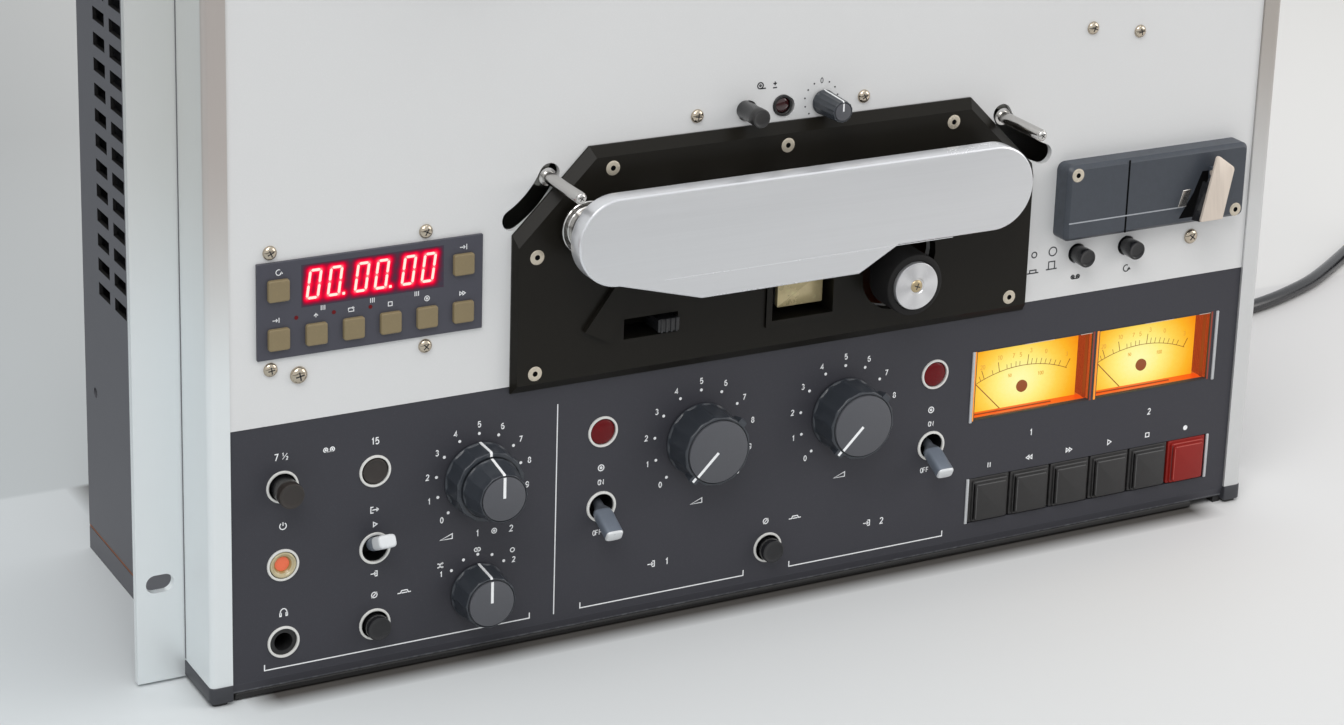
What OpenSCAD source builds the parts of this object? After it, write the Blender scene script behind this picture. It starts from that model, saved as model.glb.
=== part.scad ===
// Reel-to-reel tape recorder for a 19-inch rack.
// X runs to the right, Y to the back and Z up; the recorder rests on Z = 0.

/* [Rack and body] */
// Width of a rack ear beyond the side rail
ear_out = 17.8; // [15:0.1:22]
// How far a rack ear ends below the top of the recorder
ear_drop = 1.1; // [0.5:0.1:5]
// Thickness of a rack ear
ear_t = 3; // [2:0.1:4]
// Distance of a slot's middle from the ear's outer edge
slot_inset = 8.75; // [7:0.05:11]
// Distance between the lower and the upper slots
slot_span_z = 323.85; // [300:0.05:350]
// Radius of a slot's round ends
slot_r = 3.4; // [2.5:0.1:4]
// Length of a slot over its round ends
slot_len = 10.3; // [8:0.1:12]
// Height of the recorder
body_h = 401.4; // [401:0.1:410]
// Width over the side rails
body_w = 447; // [440:0.5:450]
// Depth of the body behind the deck face
body_d = 146; // [130:1:180]
// Width of a side rail
rail_w = 8.2; // [6:0.1:9]
// Depth of a side rail from its front to the rack ear
rail_d = 26; // [20:0.5:32]
// How far the rails stand in front of the deck face
rail_proud = 1; // [0.5:0.1:2]
// Radius of a rail's outer front corner
rail_round = 2; // [1:0.1:3]
// Height of a corner cap
cap_h = 7.4; // [5:0.1:10]

/* [Rear cover] */
// Inset of the rear cover from the rails on each side
cover_inset = 4.3; // [3:0.1:8]
// Wall of the rear cover
cover_wall = 1.6; // [1:0.1:3]
// Height of the base strip under the rear cover
base_strip_h = 9.6; // [6:0.1:14]
// Height of one vent slot
vent_h = 5; // [3:0.1:6]
// Length of one vent slot
vent_w = 13; // [8:0.1:14]
// Step from one vent slot to the next
vent_pitch = 9.7; // [8:0.1:12]
// Number of vent slots in a column
vent_count = 22; // [8:1:24]
// Height of the lowest vent slot
vent_z = 113.6; // [90:0.1:140]

/* [Deck and panel] */
// Thickness of the deck plate
deck_t = 2.5; // [2:0.1:4]
// Thickness of the control panel
panel_t = 2; // [1.5:0.1:3]
// Height of the control panel's top edge
panel_top = 102.6; // [98:0.1:110]
// Height of the control panel's bottom edge
panel_bottom = 6.8; // [5:0.1:9]
// Height of the top row of switches and lamps
row_high = 79.2; // [76:0.1:82]
// Height of the middle row of switches
row_mid = 49.6; // [47:0.1:52]
// Height of the lowest row of switches
row_low = 20; // [18:0.1:23]
// Distance of the power and phones column from the middle
col_power = 196; // [192:0.1:200]
// Distance of the output switch column from the middle
col_output = 161.2; // [158:0.1:165]
// Distance of the record lamps and switches from the middle
col_ready = 71.4; // [68:0.1:76]
// Outer radius of a bezel ring
ring_r = 6.1; // [5.6:0.1:6.5]
// Bore radius of a bezel ring
ring_bore = 5; // [4.8:0.05:5.2]

/* [Knobs] */
// Height of the level knobs above the floor
knob_z = 70; // [67:0.1:73]
// Distance of the output and mode knobs from the middle
knob_output_x = 121; // [118:0.1:124]
// Distance of the input level knobs from the middle
knob_input_x = 31; // [28:0.1:36]
// Height of the mode knob
knob_mode_z = 25.5; // [22:0.1:28]
// Radius of a level knob
knob_r = 14.2; // [11:0.1:14.5]
// Length of an input level knob
knob_len = 15.2; // [12:0.1:18]
// Radius of the inner output knob at its foot
knob_inner_r = 11.3; // [9:0.1:12]
// Reach of the inner output knob from the panel
knob_inner_reach = 22; // [18:0.1:25]
// Reach of the outer output knob from the panel
knob_outer_reach = 10.5; // [8:0.1:13]
// Radius of the mode knob at its foot
knob_mode_r = 12; // [10:0.1:13]
// Length of the mode knob
knob_mode_len = 11.2; // [9:0.1:14]
// Radius of a knob shaft
shaft_r = 3; // [2.5:0.1:3.5]

/* [Transport keys] */
// Left edge of the row of transport keys
key_x0 = 90.4; // [88:0.1:92]
// Step from one transport key to the next
key_pitch = 19.05; // [18:0.05:19.3]
// Bottom of the transport keys
key_z0 = 13.7; // [12:0.1:16]
// Height of a transport key
key_h = 18.3; // [15:0.1:20]
// How far a transport key stands out of the panel
key_out = 1.3; // [1:0.1:3]

/* [Meters] */
// Left edge of the first meter window
meter_x0 = 90.2; // [88:0.1:92]
// Step from one meter to the next
meter_pitch = 57.4; // [56:0.1:58]
// Width of a meter window
meter_w = 54.6; // [50:0.1:55]
// Bottom of the meter windows
meter_z0 = 57; // [54:0.1:60]
// Height of a meter window
meter_h = 28.4; // [24:0.1:30]
// Depth of a scale card behind the panel face
card_depth = 9.8; // [8:0.1:14]
// Distance of a needle pivot under the window
needle_drop = 10.4; // [8:0.1:12]
// Length of a needle
needle_len = 30; // [24:0.1:32]
// Angle of a resting needle from upright
needle_angle = 45; // [35:1:48]

/* [Counter] */
// Distance of the counter's middle from the middle of the deck
counter_x = 163.1; // [160:0.1:165]
// Height of the counter's middle
counter_z = 145; // [143:0.1:147]
// Width of the counter
counter_w = 84.2; // [80:0.1:88]
// Height of the counter
counter_h = 35; // [33:0.1:38]
// How far the counter stands out of the deck
counter_out = 1.2; // [0.8:0.1:2]
// Side of a counter key
count_key = 9; // [8:0.1:9.6]
// Step from one counter key to the next
count_pitch = 13.8; // [13:0.1:14]
// Height of the lower row of counter keys under the counter's middle
count_row_drop = 10.2; // [9.4:0.1:10.8]
// Height of the two upper counter keys over the counter's middle
count_row_rise = 7.5; // [6.5:0.1:9]
// How far a counter key stands out of its frame
count_key_out = 1.5; // [1.2:0.1:3]

/* [Tape path] */
// Half width of the head housing
housing_half = 109.5; // [107:0.1:112]
// Height of the head housing's bottom edge
housing_z0 = 100.3; // [98:0.1:102]
// Height of the head housing's top edge
housing_z1 = 189.5; // [188:0.1:192]
// Length of the cut corners of the head housing
housing_corner = 29.5; // [26:0.1:32]
// Thickness of the head housing's plate
housing_t = 4; // [3:0.1:5]
// Width of the bevel around the head housing
bevel_w = 3.6; // [2:0.1:5]
// Half length of the head cover
hood_half = 94.7; // [92:0.1:97]
// Height of the head cover's middle line
hood_z = 160.6; // [159:0.1:162]
// Radius of the head cover's round ends
hood_r = 16.4; // [15:0.1:17]
// Reach of the head cover's face from the deck
hood_reach = 24; // [23:0.1:27]
// Depth of the head cover's rim
hood_rim = 7; // [5:0.1:9]
// Thickness of the head cover's sheet
hood_t = 1.6; // [1:0.1:2]
// Drop of the head cover's nose under its straight edge
hood_nose = 9.3; // [7:0.1:10]
// Distance of the tape guide rods from the middle
rod_x = 95.6; // [95:0.1:97]
// Height of the tape guide rods at rest
rod_z = 179.9; // [178:0.1:183]
// Radius of a tape guide rod
rod_r = 2.2; // [1.5:0.1:2.5]
// Reach of the guide rods from the deck
rod_reach = 30; // [28:0.5:34]
// Distance of the tension arm pivots from the middle
arm_x = 127.4; // [126:0.1:130]
// Height of the tension arm pivots
arm_z = 196.5; // [194:0.1:200]
// Swing of a tension arm in degrees
arm_swing = 32; // [20:1:36]
// Degrees by which the right arm's slot runs on past its swing
arm_slot_more = 10; // [0:1:12]
// Width of the slot that a guide rod moves in
arm_slot_w = 8; // [7:0.1:9]
// Radius of the pinch roller
pinch_r = 12; // [10:0.1:12.5]
// Distance of the pinch roller from the middle at rest
pinch_x = 48.2; // [46:0.1:50]
// Height of the pinch roller at rest
pinch_z = 125; // [123:0.1:126]
// Reach of the pinch roller from the deck
pinch_reach = 20.5; // [18:0.1:21.5]
// Distance of the pinch arm's pivot from the middle
pinch_arm_x = 82; // [78:0.1:86]
// Height of the pinch arm's pivot
pinch_arm_z = 112; // [108:0.1:116]
// Swing of the pinch arm in degrees
pinch_swing = 12; // [8:1:14]
// Radius of the capstan
capstan_r = 2.5; // [2:0.1:3]
// Distance of the guide roller from the middle
roller_x = 83.1; // [82:0.1:85]
// Height of the guide roller
roller_z = 161.6; // [160:0.1:163]
// Radius of the guide roller's flanges
roller_r = 10.1; // [9:0.1:10.4]

/* [Reel tables] */
// Distance of the reel tables from the middle
reel_x = 136; // [134:0.5:140]
// Height of the reel tables' axes
reel_z = 318; // [314:0.5:322]
// Radius of a reel table
reel_table_r = 41; // [36:0.5:45]
// Reach of the reel spindles from the deck
reel_reach = 29; // [26:0.5:30]
// Radius of a reel spindle
reel_spindle_r = 3.9; // [3.6:0.1:4.2]

/* [Splicing block] */
// Left edge of the splicing block
splice_x0 = 122.8; // [120:0.1:125]
// Length of the splicing block
splice_w = 83.8; // [80:0.1:86]
// Bottom of the splicing block
splice_z0 = 128.3; // [127.5:0.1:130]
// Height of the splicing block
splice_h = 30.5; // [28:0.1:32]
// Thickness of the splicing block
splice_t = 7; // [6:0.1:9]
// Width of the tape groove
groove_w = 6.4; // [6.3:0.05:6.6]
// Height of the tape groove over the block's bottom
groove_rise = 7.6; // [6:0.1:9]
// Left edge of the cutter lever
cutter_x = 182.4; // [181:0.1:184]
// Width of the cutter lever
cutter_w = 10.4; // [10:0.1:11.5]
// Length of the cutter lever
cutter_len = 25; // [22:0.1:26]

/* [Small buttons] */
// Radius of a round push button
button_r = 4.7; // [4.2:0.05:4.8]
// Radius of the small black buttons on the deck
small_r = 3.7; // [3:0.1:4.2]
// Height of the variable speed controls
vari_z = 195; // [194.5:0.1:198]
// Distance of the variable speed button and knob from the middle
vari_x = 15.8; // [13:0.1:20]
// Distance of the reel size button from the middle
size_x = 134; // [130:0.1:140]
// Distance of the tape dump button from the middle
dump_x = 157.4; // [150:0.1:165]
// Height of the reel size and tape dump buttons
dump_z = 120; // [118:0.1:122]

/* [Mains lead] */
// Diameter of the mains lead
cord_d = 6.5; // [5:0.1:8]
// Length of the strain relief behind the connector plate
relief_len = 30; // [25:0.5:40]

/* [Hidden] */
$fn = 48;
// Clearance between pieces that move against each other
gap = 0.3;
// Radial clearance of a shaft in its bearing
fit = 0.05;
// Overlap that joins two shapes of one solid
weld = 0.4;
// Overshoot of a cutter past the face that it cuts
over = 1;
// Thickness of the connector plate and its reach behind the body
plate_t = 2;
// The deck face, placed so that the whole recorder is centred on Y = 0
front_y = -(body_d + plate_t + relief_len - rod_reach) / 2;
// Outer side of the rails, their inner side and the edge of the plates between them
rail_half = body_w / 2;
rack_w = body_w + 2 * ear_out;
slot_span_x = rack_w - 2 * slot_inset;
inner_half = rail_half - rail_w;
plate_half = inner_half - 0.1;
// Back of the rails and front of the rack ears
ear_y = rail_d - rail_proud;
// Outer side of the rear cover
cover_half = rail_half - cover_inset;
vent_ys = [body_d - 25.5, body_d - 44];
// Mounting plate that carries the motors, behind the rack ears' front face
mount_t = 3;
mount_y = ear_y + mount_t;
// Thickness of the frame behind the plates
frame_t = 4;
// Lower and upper edge of the frame
frame_z0 = panel_bottom;
frame_z1 = body_h - cap_h;
lip_z = 2.8;
ear_mid = body_h / 2;
cap_proud = rail_proud + 0.5;
deck_z0 = panel_top + 0.2;
deck_z1 = body_h - panel_bottom;
housing_y = -housing_t;
// Places of the round fittings on the panel as [x, z]
slow_at = [-col_power, row_high];
power_at = [-col_power, row_mid];
phones_at = [-col_power, row_low];
fast_at = [-col_output, row_high];
output_at = [-col_output, row_mid];
uncal_out_at = [-col_output, row_low];
lamp_one_at = [-col_ready, row_high];
lamp_two_at = [col_ready, row_high];
ready_one_at = [-col_ready, row_mid];
ready_two_at = [col_ready, row_mid];
uncal_in_at = [0, row_low];
fitting_places = [slow_at, power_at, phones_at, fast_at, output_at, uncal_out_at, lamp_one_at,
    lamp_two_at, ready_one_at, ready_two_at, uncal_in_at];
button_places = [slow_at, power_at, fast_at, uncal_out_at, uncal_in_at];
toggle_places = [output_at, ready_one_at, ready_two_at];
// A bezel ring's sleeve fills the panel's hole
sleeve_r = ring_bore + 0.6;
sleeve_len = 12;
ring_out = 0.8;
// Reach and travel of the round buttons
speed_reach = 9.4;
speed_travel = 8.9;
uncal_reach = 5;
power_reach = 0.6;
small_reach = 7.5;
small_travel = 4;
vari_button_reach = 11.5;
// How much narrower the inner output knob's face is than its foot
knob_inner_taper = 2.3;
// Phones socket
jack_r = 3.2;
jack_len = 30;
// Toggle levers: pivot, length, half thickness and width of the flat tip, tilt
toggle_y = 3;
toggle_bore = 4.4;
toggle_len = 16.5;
toggle_r = 1.9;
toggle_flat = 1.7;
toggle_tip = 7;
toggle_grip = 10.5;
toggle_tilt = 27;
toggle_pin_r = 0.8;
// Places of the knobs as [x, z]
knob_output_at = [-knob_output_x, knob_z];
knob_one_at = [-knob_input_x, knob_z];
knob_two_at = [knob_input_x, knob_z];
knob_mode_at = [-knob_output_x, knob_mode_z];
// Gap between a knob's foot and the face under it
knob_gap = 0.5;
// Bearing bush of a knob shaft and the end of the shaft inside it
bush_r = 7;
bush_len = 10;
outer_tube_r = shaft_r + 1.5;
// Grip flutes, skirt and pointer groove of the knobs, and the rest angle of the input knobs
knob_flutes = 14;
flute_r = 2.6;
flute_out = 2;
knob_skirt = 1.6;
pointer_w = 1.2;
pointer_deep = 0.5;
input_rest = -135;
// Places of the deck controls as [x, z]
vari_button_at = [-vari_x, vari_z];
vari_knob_at = [vari_x, vari_z];
vari_lamp_at = [0, vari_z];
vari_shaft_r = 1.6;
vari_knob_r = 3.6;
vari_knob_reach = 13.5;
lamp_small_r = 3.8;
size_at = [size_x, dump_z];
dump_at = [dump_x, dump_z];
small_places = [vari_button_at, size_at, dump_at];
small_sleeve = 6;
// Widths of the keys and of the opening that they stand in
key_w = key_pitch - 0.5;
key_row_w = 5 * key_pitch + key_w;
key_z1 = key_z0 + key_h;
key_depth = 6;
key_bevel = 0.8;
dish_r = 30;
dish_deep = 0.5;
bar_w = 1.1;
bar_out = 0.6;
// The counter's edges and key places
count_x0 = -counter_x - counter_w / 2;
count_x1 = -counter_x + counter_w / 2;
count_z0 = counter_z - counter_h / 2;
count_z1 = counter_z + counter_h / 2;
count_key_x0 = -counter_x - 2.5 * count_pitch;
count_low_z = counter_z - count_row_drop;
count_high_z = counter_z + count_row_rise;
count_body = 6;
count_round = 0.9;
count_places = concat([for (i = [0:5]) [count_key_x0 + i * count_pitch, count_low_z]],
    [for (i = [0, 5]) [count_key_x0 + i * count_pitch, count_high_z]]);
// Display window between the two upper keys
display_half = 2.5 * count_pitch - count_key / 2 - 4;
display_z0 = counter_z + 0.8;
display_z1 = count_z1 - 1.6;
// Meter case walls and needle pivots
case_wall = 1.2;
case_back = 3;
pivot_z = meter_z0 - needle_drop;
pivot_r = 0.7;
case_z0 = pivot_z - 4;
needle_y = card_depth - 1.4;
// Tension arms: radius of the swing, angle at rest and plate
arm_r = norm([arm_x - rod_x, arm_z - rod_z]);
arm_rest = atan2(rod_z - arm_z, arm_x - rod_x);
arm_y = deck_t + gap;
// Degrees by which a slot runs on past the resting rod
arm_slot_lead = 2;
arm_t = 2.5;
stud_r = 3;
hub_r = 6;
hub_len = 6;
// Pinch arm: radius of the swing, rest angle and the roller's engaged place
pinch_dx = pinch_x - pinch_arm_x;
pinch_dz = pinch_z - pinch_arm_z;
pinch_end = [pinch_arm_x + pinch_dx * cos(pinch_swing) + pinch_dz * sin(pinch_swing),
    pinch_arm_z - pinch_dx * sin(pinch_swing) + pinch_dz * cos(pinch_swing)];
axle_r = 2.4;
pinch_cap_t = 1.4;
pinch_cap_r = pinch_r - 2.8;
// The capstan stands just clear over the engaged roller
capstan_x = pinch_end[0] + 1;
capstan_z = pinch_end[1] + pinch_r + capstan_r + gap;
capstan_reach = hood_reach - hood_t - 1;
// Bearing tube of the capstan in front of its motor
capstan_tube_r = 6;
// Opening around the pinch roller
pinch_hole_r = pinch_r + 2.2;
// Head block plate and heads
block_t = 3;
block_y = housing_y - block_t;
block_x0 = roller_r + 0.7 - roller_x;
block_x1 = capstan_x + 8;
block_z0 = capstan_z - 2;
roller_reach = hood_reach - hood_rim - 0.8;
block_z1 = hood_z + hood_r - 7;
head_y = -(hood_reach - hood_t - 3);
head_w = 15;
head_z = roller_z - 7.1;
head_xs = [-52, -25, 4];
// Head cover: middle of its round ends, nose and hinge
hood_cx = hood_half - hood_r;
hood_low = hood_z - hood_r;
nose_z = hood_low - hood_nose;
nose_left = -44.8;
nose_right = 20.6;
nose_slope = 16;
hinge_y = -(hood_reach - hood_rim);
hinge_z = nose_z + 2.6;
hinge_r = 1.5;
lug_w = 5;
lug_xs = [-41, 12];
ear_w = 3.5;
// Tape window and edit lever recess in the head housing
window_x0 = -5;
window_x1 = 21;
window_z0 = 114;
window_z1 = 130;
tub_depth = 10;
tub_wall = 1.5;
edit_x0 = -66;
edit_x1 = -44;
edit_z0 = 115.6;
edit_z1 = 123.4;
edit_w = 9;
edit_mid = (edit_z0 + edit_z1) / 2;
// Splicing block: groove and cutter hinge
groove_z = splice_z0 + groove_rise;
groove_deep = 0.8;
slit_x = splice_x0 + 28.4;
cutter_y = -(splice_t + 3.2);
cutter_z = splice_z0 + 20.7;
cutter_pin_r = 1.2;
cutter_tilt = 8;
cutter_lean = 6.9;
cutter_ear = 1.8;
cutter_knuckle = 3.6;
cutter_knuckle_x = cutter_x + 8;
cutter_ear_xs = [cutter_knuckle_x - gap - cutter_ear, cutter_knuckle_x + cutter_knuckle + gap];
// Reel tables
reel_table_y = -5;
reel_table_t = 9;
reel_shaft_r = 5;
reel_grooves = [reel_table_r - 21, reel_table_r - 13];
reel_hole_r = 9;
wing_len = 6;
motor_y0 = mount_y;
motor_len = 58;
reel_motor_r = reel_table_r + 3;
capstan_motor_r = 36;
shaft_hole = 14;
// Transformer and circuit board behind the motor plate
trafo_x0 = -cover_half + 14.2;
trafo_w = 85;
trafo_d = 70;
trafo_z0 = 30;
trafo_h = 74;
board_x0 = -106;
board_x1 = cover_half - 21.2;
board_z0 = 18;
board_z1 = 98;
board_t = 1.6;
standoff = 12;
standoff_r = 3;
standoff_in = 6;
// Connector plate on the back
conn_x0 = -110;
conn_x1 = 180;
conn_z0 = 22;
conn_z1 = 96;
xlr_xs = [-80, -42, -4, 34];
xlr_z = 62;
xlr_half_w = 13;
xlr_half_h = 15;
xlr_shell_r = 11.5;
xlr_bore = 9.5;
xlr_core = 7.6;
xlr_deep = 14;
xlr_pin = 4;
relief_at = [150, 40];
relief_r = cord_d / 2 + 3.4;
// Points of the mains lead from the strain relief to its coil
cord_path = [[150, 104, 40], [150, 118, 39.5], [150.5, 131, 36], [153, 143, 29.5], [158, 152, 20.5],
    [167, 158, 12], [179, 160.5, 6], [194, 158, 3.5], [210, 151, 3.3], [225, 142, 3.3],
    [240, 132, 3.3], [255, 122.5, 3.3], [271, 114, 3.3], [288, 107.5, 3.3], [306, 103, 3.3],
    [325, 100.5, 3.3], [344, 100.5, 3.3], [363, 103, 3.3], [381, 107.5, 3.3], [399, 114, 3.3],
    [416, 121.5, 3.3], [433, 131.5, 3.3], [450, 142.5, 3.3], [466, 153, 3.3], [482, 163, 3.3],
    [490, 167, 3.3], [498.5, 169.3, 3.3], [507, 170, 3.3], [514, 170, 3.3]];
// Height of a lead that lies on the floor
cord_z = 3.3;
// Middle of the coil, its radii, its step between turns and its turns in each layer
coil_at = [520.5, 122];
coil_in = 27;
coil_step = 7;
coil_down = 3;
coil_up = 2.75;
coil_dip = 0.95;
coil_lead = 6.5;
coil_sides = 6;
coil_rings = 24;
coil_out = coil_in + coil_down * coil_step;
coil_end_r = coil_in + coil_up * coil_step;
// Points of the tail from the coil to the plug
tail_x = coil_at[0] + coil_end_r;
tail_y = coil_at[1] - coil_lead;
tail_z = cord_z + coil_step;
tail_path = [[tail_x, tail_y, tail_z], [tail_x, tail_y - 7, tail_z], [tail_x, tail_y - 20, tail_z + 0.9],
    [tail_x, tail_y - 33, tail_z + 2.3], [tail_x, tail_y - 42, tail_z + 2.7],
    [tail_x, tail_y - 49, tail_z + 2.7]];
// Plug: body, boot and pins
plug_r = 13;
plug_y = tail_y - 49;
plug_z = tail_z + 2.7;
plug_boot = 22;
plug_len = 24;
plug_pitch = 19;
pin_len = 19;
pin_r = 2.4;

// Point of the coil after t turns: three turns in on the floor, a climb, then out on top
function coil_point(t) =
    let (u = min(max((t - coil_down) / 0.5, 0), 1),
        r = t < coil_down ? coil_out - coil_step * t
            : t < coil_down + 0.5 ? coil_in - coil_dip * sin(180 * u)
            : coil_in + coil_step * (t - coil_down - 0.5))
    [coil_at[0] + r * sin(360 * t), coil_at[1] + r * cos(360 * t), cord_z + coil_step * u];

coil_turns = coil_down + 0.5 + coil_up;
coil_path = concat([[coil_at[0] - coil_lead, coil_at[1] + coil_out, cord_z]],
    [for (i = [0:coil_turns * coil_rings]) coil_point(i / coil_rings)],
    [[coil_at[0] + coil_end_r, coil_at[1] - coil_lead, cord_z + coil_step]]);
// Least distance between points of the coil that are half a turn or more apart, less the diameter
coil_gap = min([for (i = [0:len(coil_path) - 1]) for (k = [i + coil_rings / 2:len(coil_path) - 1])
    norm(coil_path[i] - coil_path[k])]) - cord_d;

module at_deck() {
    translate([0, front_y, 0])
        children();
}

// A box between two corners
module block(x0, x1, y0, y1, z0, z1) {
    translate([x0, y0, z0])
        cube([x1 - x0, y1 - y0, z1 - z0]);
}

// A cylinder along Y from y0 to y1 at [x, z]
module post(at, y0, y1, r) {
    translate([at[0], y1, at[1]])
        rotate([90, 0, 0])
            cylinder(h = y1 - y0, r = r);
}

// A cone frustum along Y, with radius r0 at y0 in front and r1 at y1
module taper(at, y0, y1, r0, r1) {
    translate([at[0], y1, at[1]])
        rotate([90, 0, 0])
            cylinder(h = y1 - y0, r1 = r1, r2 = r0);
}

// A cylinder along X from x0 to x1
module bar(x0, x1, y, z, r) {
    translate([x0, y, z])
        rotate([0, 90, 0])
            cylinder(h = x1 - x0, r = r);
}

// A profile of [y, z] points carried along X from x0 to x1
module rail_profile(x0, x1, points) {
    translate([x0, 0, 0])
        rotate([90, 0, 90])
            linear_extrude(height = x1 - x0)
                polygon(points);
}

// An outline of [x, z] points carried along Y from y0 to y1
module plate_outline(y0, y1, points) {
    translate([0, y1, 0])
        rotate([90, 0, 0])
            linear_extrude(height = y1 - y0)
                polygon(points);
}

// A flat bar of width w between two [x, z] points
module link(a, b, w, y0, y1) {
    side = [a[1] - b[1], b[0] - a[0]] * w / 2 / norm(b - a);
    plate_outline(y0, y1, [a + side, a - side, b - side, b + side]);
}

// A round-ended slot along X through a plate
module slot_cut(at, length, r, y0, y1) {
    half = length / 2 - r;
    post([at[0] - half, at[1]], y0, y1, r);
    post([at[0] + half, at[1]], y0, y1, r);
    block(at[0] - half, at[0] + half, y0, y1, at[1] - r, at[1] + r);
}

// A tube of round section swept along a list of points
module tube(path, d, sides) {
    last = len(path) - 1;
    ahead = [for (i = [0:last]) path[min(i + 1, last)] - path[max(i - 1, 0)]];
    way = [for (v = ahead) v / norm(v)];
    side = [for (v = way) let (s = cross(v, [0, 0, 1])) s / norm(s)];
    top = [for (i = [0:last]) cross(side[i], way[i])];
    turn = [for (k = [0:sides - 1]) (k + 0.5) * 360 / sides];
    ring = [for (i = [0:last]) for (a = turn) path[i] + (side[i] * cos(a) + top[i] * sin(a)) * d / 2];
    wall = [for (i = [0:last - 1]) for (k = [0:sides - 1]) for (half = [0, 1])
        let (n = (k + 1) % sides, a = i * sides, b = (i + 1) * sides)
            half == 0 ? [a + k, b + k, b + n] : [a + k, b + n, a + n]];
    start = [for (k = [1:sides - 2]) [0, k, k + 1]];
    end = [for (k = [1:sides - 2]) [last * sides, last * sides + k + 1, last * sides + k]];
    polyhedron(points = ring, faces = concat(wall, start, end));
}

// Frame, motor plate, motors, transformer and circuit boards
module chassis() {
    color("silver") at_deck() {
        difference() {
            union() {
                block(-plate_half, plate_half, deck_t, ear_y, frame_z0, frame_z1);
                block(-cover_half + cover_wall + gap, cover_half - cover_wall - gap, ear_y, mount_y,
                    cover_wall + gap, body_h - panel_bottom - gap);
            }
            block(-plate_half + frame_t, plate_half - frame_t, deck_t - over, ear_y,
                frame_z0 + frame_t, frame_z1 - frame_t);
            for (side = [-1, 1])
                post([side * reel_x, reel_z], ear_y - over, mount_y + over, reel_shaft_r + fit);
            post([capstan_x, capstan_z], ear_y - over, mount_y + over, capstan_r + fit);
            post(phones_at, ear_y - over, mount_y + over, sleeve_r + gap);
        }
        difference() {
            post([capstan_x, capstan_z], deck_t + 2, ear_y, capstan_tube_r);
            post([capstan_x, capstan_z], 0, ear_y + over, capstan_r + fit);
        }
        for (side = [-1, 1])
            difference() {
                post([side * reel_x, reel_z], motor_y0, motor_y0 + motor_len, reel_motor_r);
                post([side * reel_x, reel_z], motor_y0 - over, motor_y0 + shaft_hole,
                    reel_shaft_r + fit);
            }
        difference() {
            post([capstan_x, capstan_z], motor_y0, motor_y0 + 1.2 * motor_len, capstan_motor_r);
            post([capstan_x, capstan_z], motor_y0 - over, motor_y0 + shaft_hole, capstan_r + fit);
        }
        block(trafo_x0, trafo_x0 + trafo_w, mount_y, mount_y + trafo_d, trafo_z0,
            trafo_z0 + trafo_h);
        for (x = [board_x0 + standoff_in, board_x1 - standoff_in])
            for (z = [board_z0 + standoff_in, board_z1 - standoff_in])
                post([x, z], mount_y, mount_y + standoff, standoff_r);
        block(board_x0, board_x1, mount_y + standoff, mount_y + standoff + board_t, board_z0,
            board_z1);
    }
}

// Outline of a round-ended slot of half width w that follows an arc from angle a0 to a1
function arc_slot(middle, r, a0, a1, w) =
    let (n = 12, ray = function(a) [cos(a), sin(a)])
    concat([for (k = [0:n]) middle + (r + w) * ray(a0 + (a1 - a0) * k / n)],
        [for (k = [1:n - 1]) middle + r * ray(a1) + w * ray(a1 + 180 * k / n)],
        [for (k = [0:n]) middle + (r - w) * ray(a1 + (a0 - a1) * k / n)],
        [for (k = [1:n - 1]) middle + r * ray(a0) + w * ray(a0 + 180 + 180 * k / n)]);

// Curved slot in which the rod of a tension arm swings, side -1 left and 1 right
module arm_slot(side, y0, y1) {
    mirror([side > 0 ? 1 : 0, 0, 0])
        plate_outline(y0, y1, arc_slot([-arm_x, arm_z], arm_r,
            arm_rest - arm_swing - (side > 0 ? arm_slot_more : 0), arm_rest + arm_slot_lead,
            arm_slot_w / 2));
}

// Opening in which the pinch roller moves up to the capstan
module pinch_opening(y0, y1) {
    rest = atan2(pinch_dz, pinch_dx);
    plate_outline(y0, y1, arc_slot([pinch_arm_x, pinch_arm_z], norm([pinch_dx, pinch_dz]),
        rest - pinch_swing, rest, pinch_hole_r));
}

// Light grey plate over the upper three quarters of the front
module deck_plate() {
    color("gainsboro") at_deck() {
        difference() {
            union() {
                block(-plate_half, plate_half, 0, deck_t, deck_z0, deck_z1);
                // Pivot studs of the tension arms and of the pinch arm
                for (side = [-1, 1])
                    post([side * arm_x, arm_z], deck_t - weld, arm_y + hub_len + 1, stud_r);
                post([pinch_arm_x, pinch_arm_z], deck_t - weld, arm_y + hub_len + 1, stud_r);
                // Sleeves of the small buttons and bush of the variable speed knob
                for (at = small_places)
                    post(at, deck_t - weld, deck_t + small_sleeve, small_r + 1.6);
                post(vari_knob_at, deck_t - weld, deck_t + small_sleeve, vari_shaft_r + 3);
            }
            for (side = [-1, 1]) {
                post([side * reel_x, reel_z], -over, deck_t + over, reel_hole_r);
                arm_slot(side, -over, deck_t + over);
            }
            block(count_x0 + 2, count_x1 - 2, -over, deck_t + over, count_z0 + 2, count_z1 - 2);
            for (at = small_places)
                post(at, -over, deck_t + small_sleeve + over, small_r + gap);
            post(vari_knob_at, -over, deck_t + small_sleeve + over, vari_shaft_r + fit);
            post(vari_lamp_at, -over, deck_t + over, lamp_small_r);
            post([capstan_x, capstan_z], -over, deck_t + over, capstan_r + 1);
            pinch_opening(-over, deck_t + over);
            block(window_x0 - tub_wall, window_x1 + tub_wall, -over, deck_t + over,
                window_z0 - tub_wall, window_z1 + tub_wall);
            block(edit_x0 - tub_wall, edit_x1 + tub_wall, -over, deck_t + over,
                edit_z0 - tub_wall, edit_z1 + tub_wall);
        }
    }
}

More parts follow.
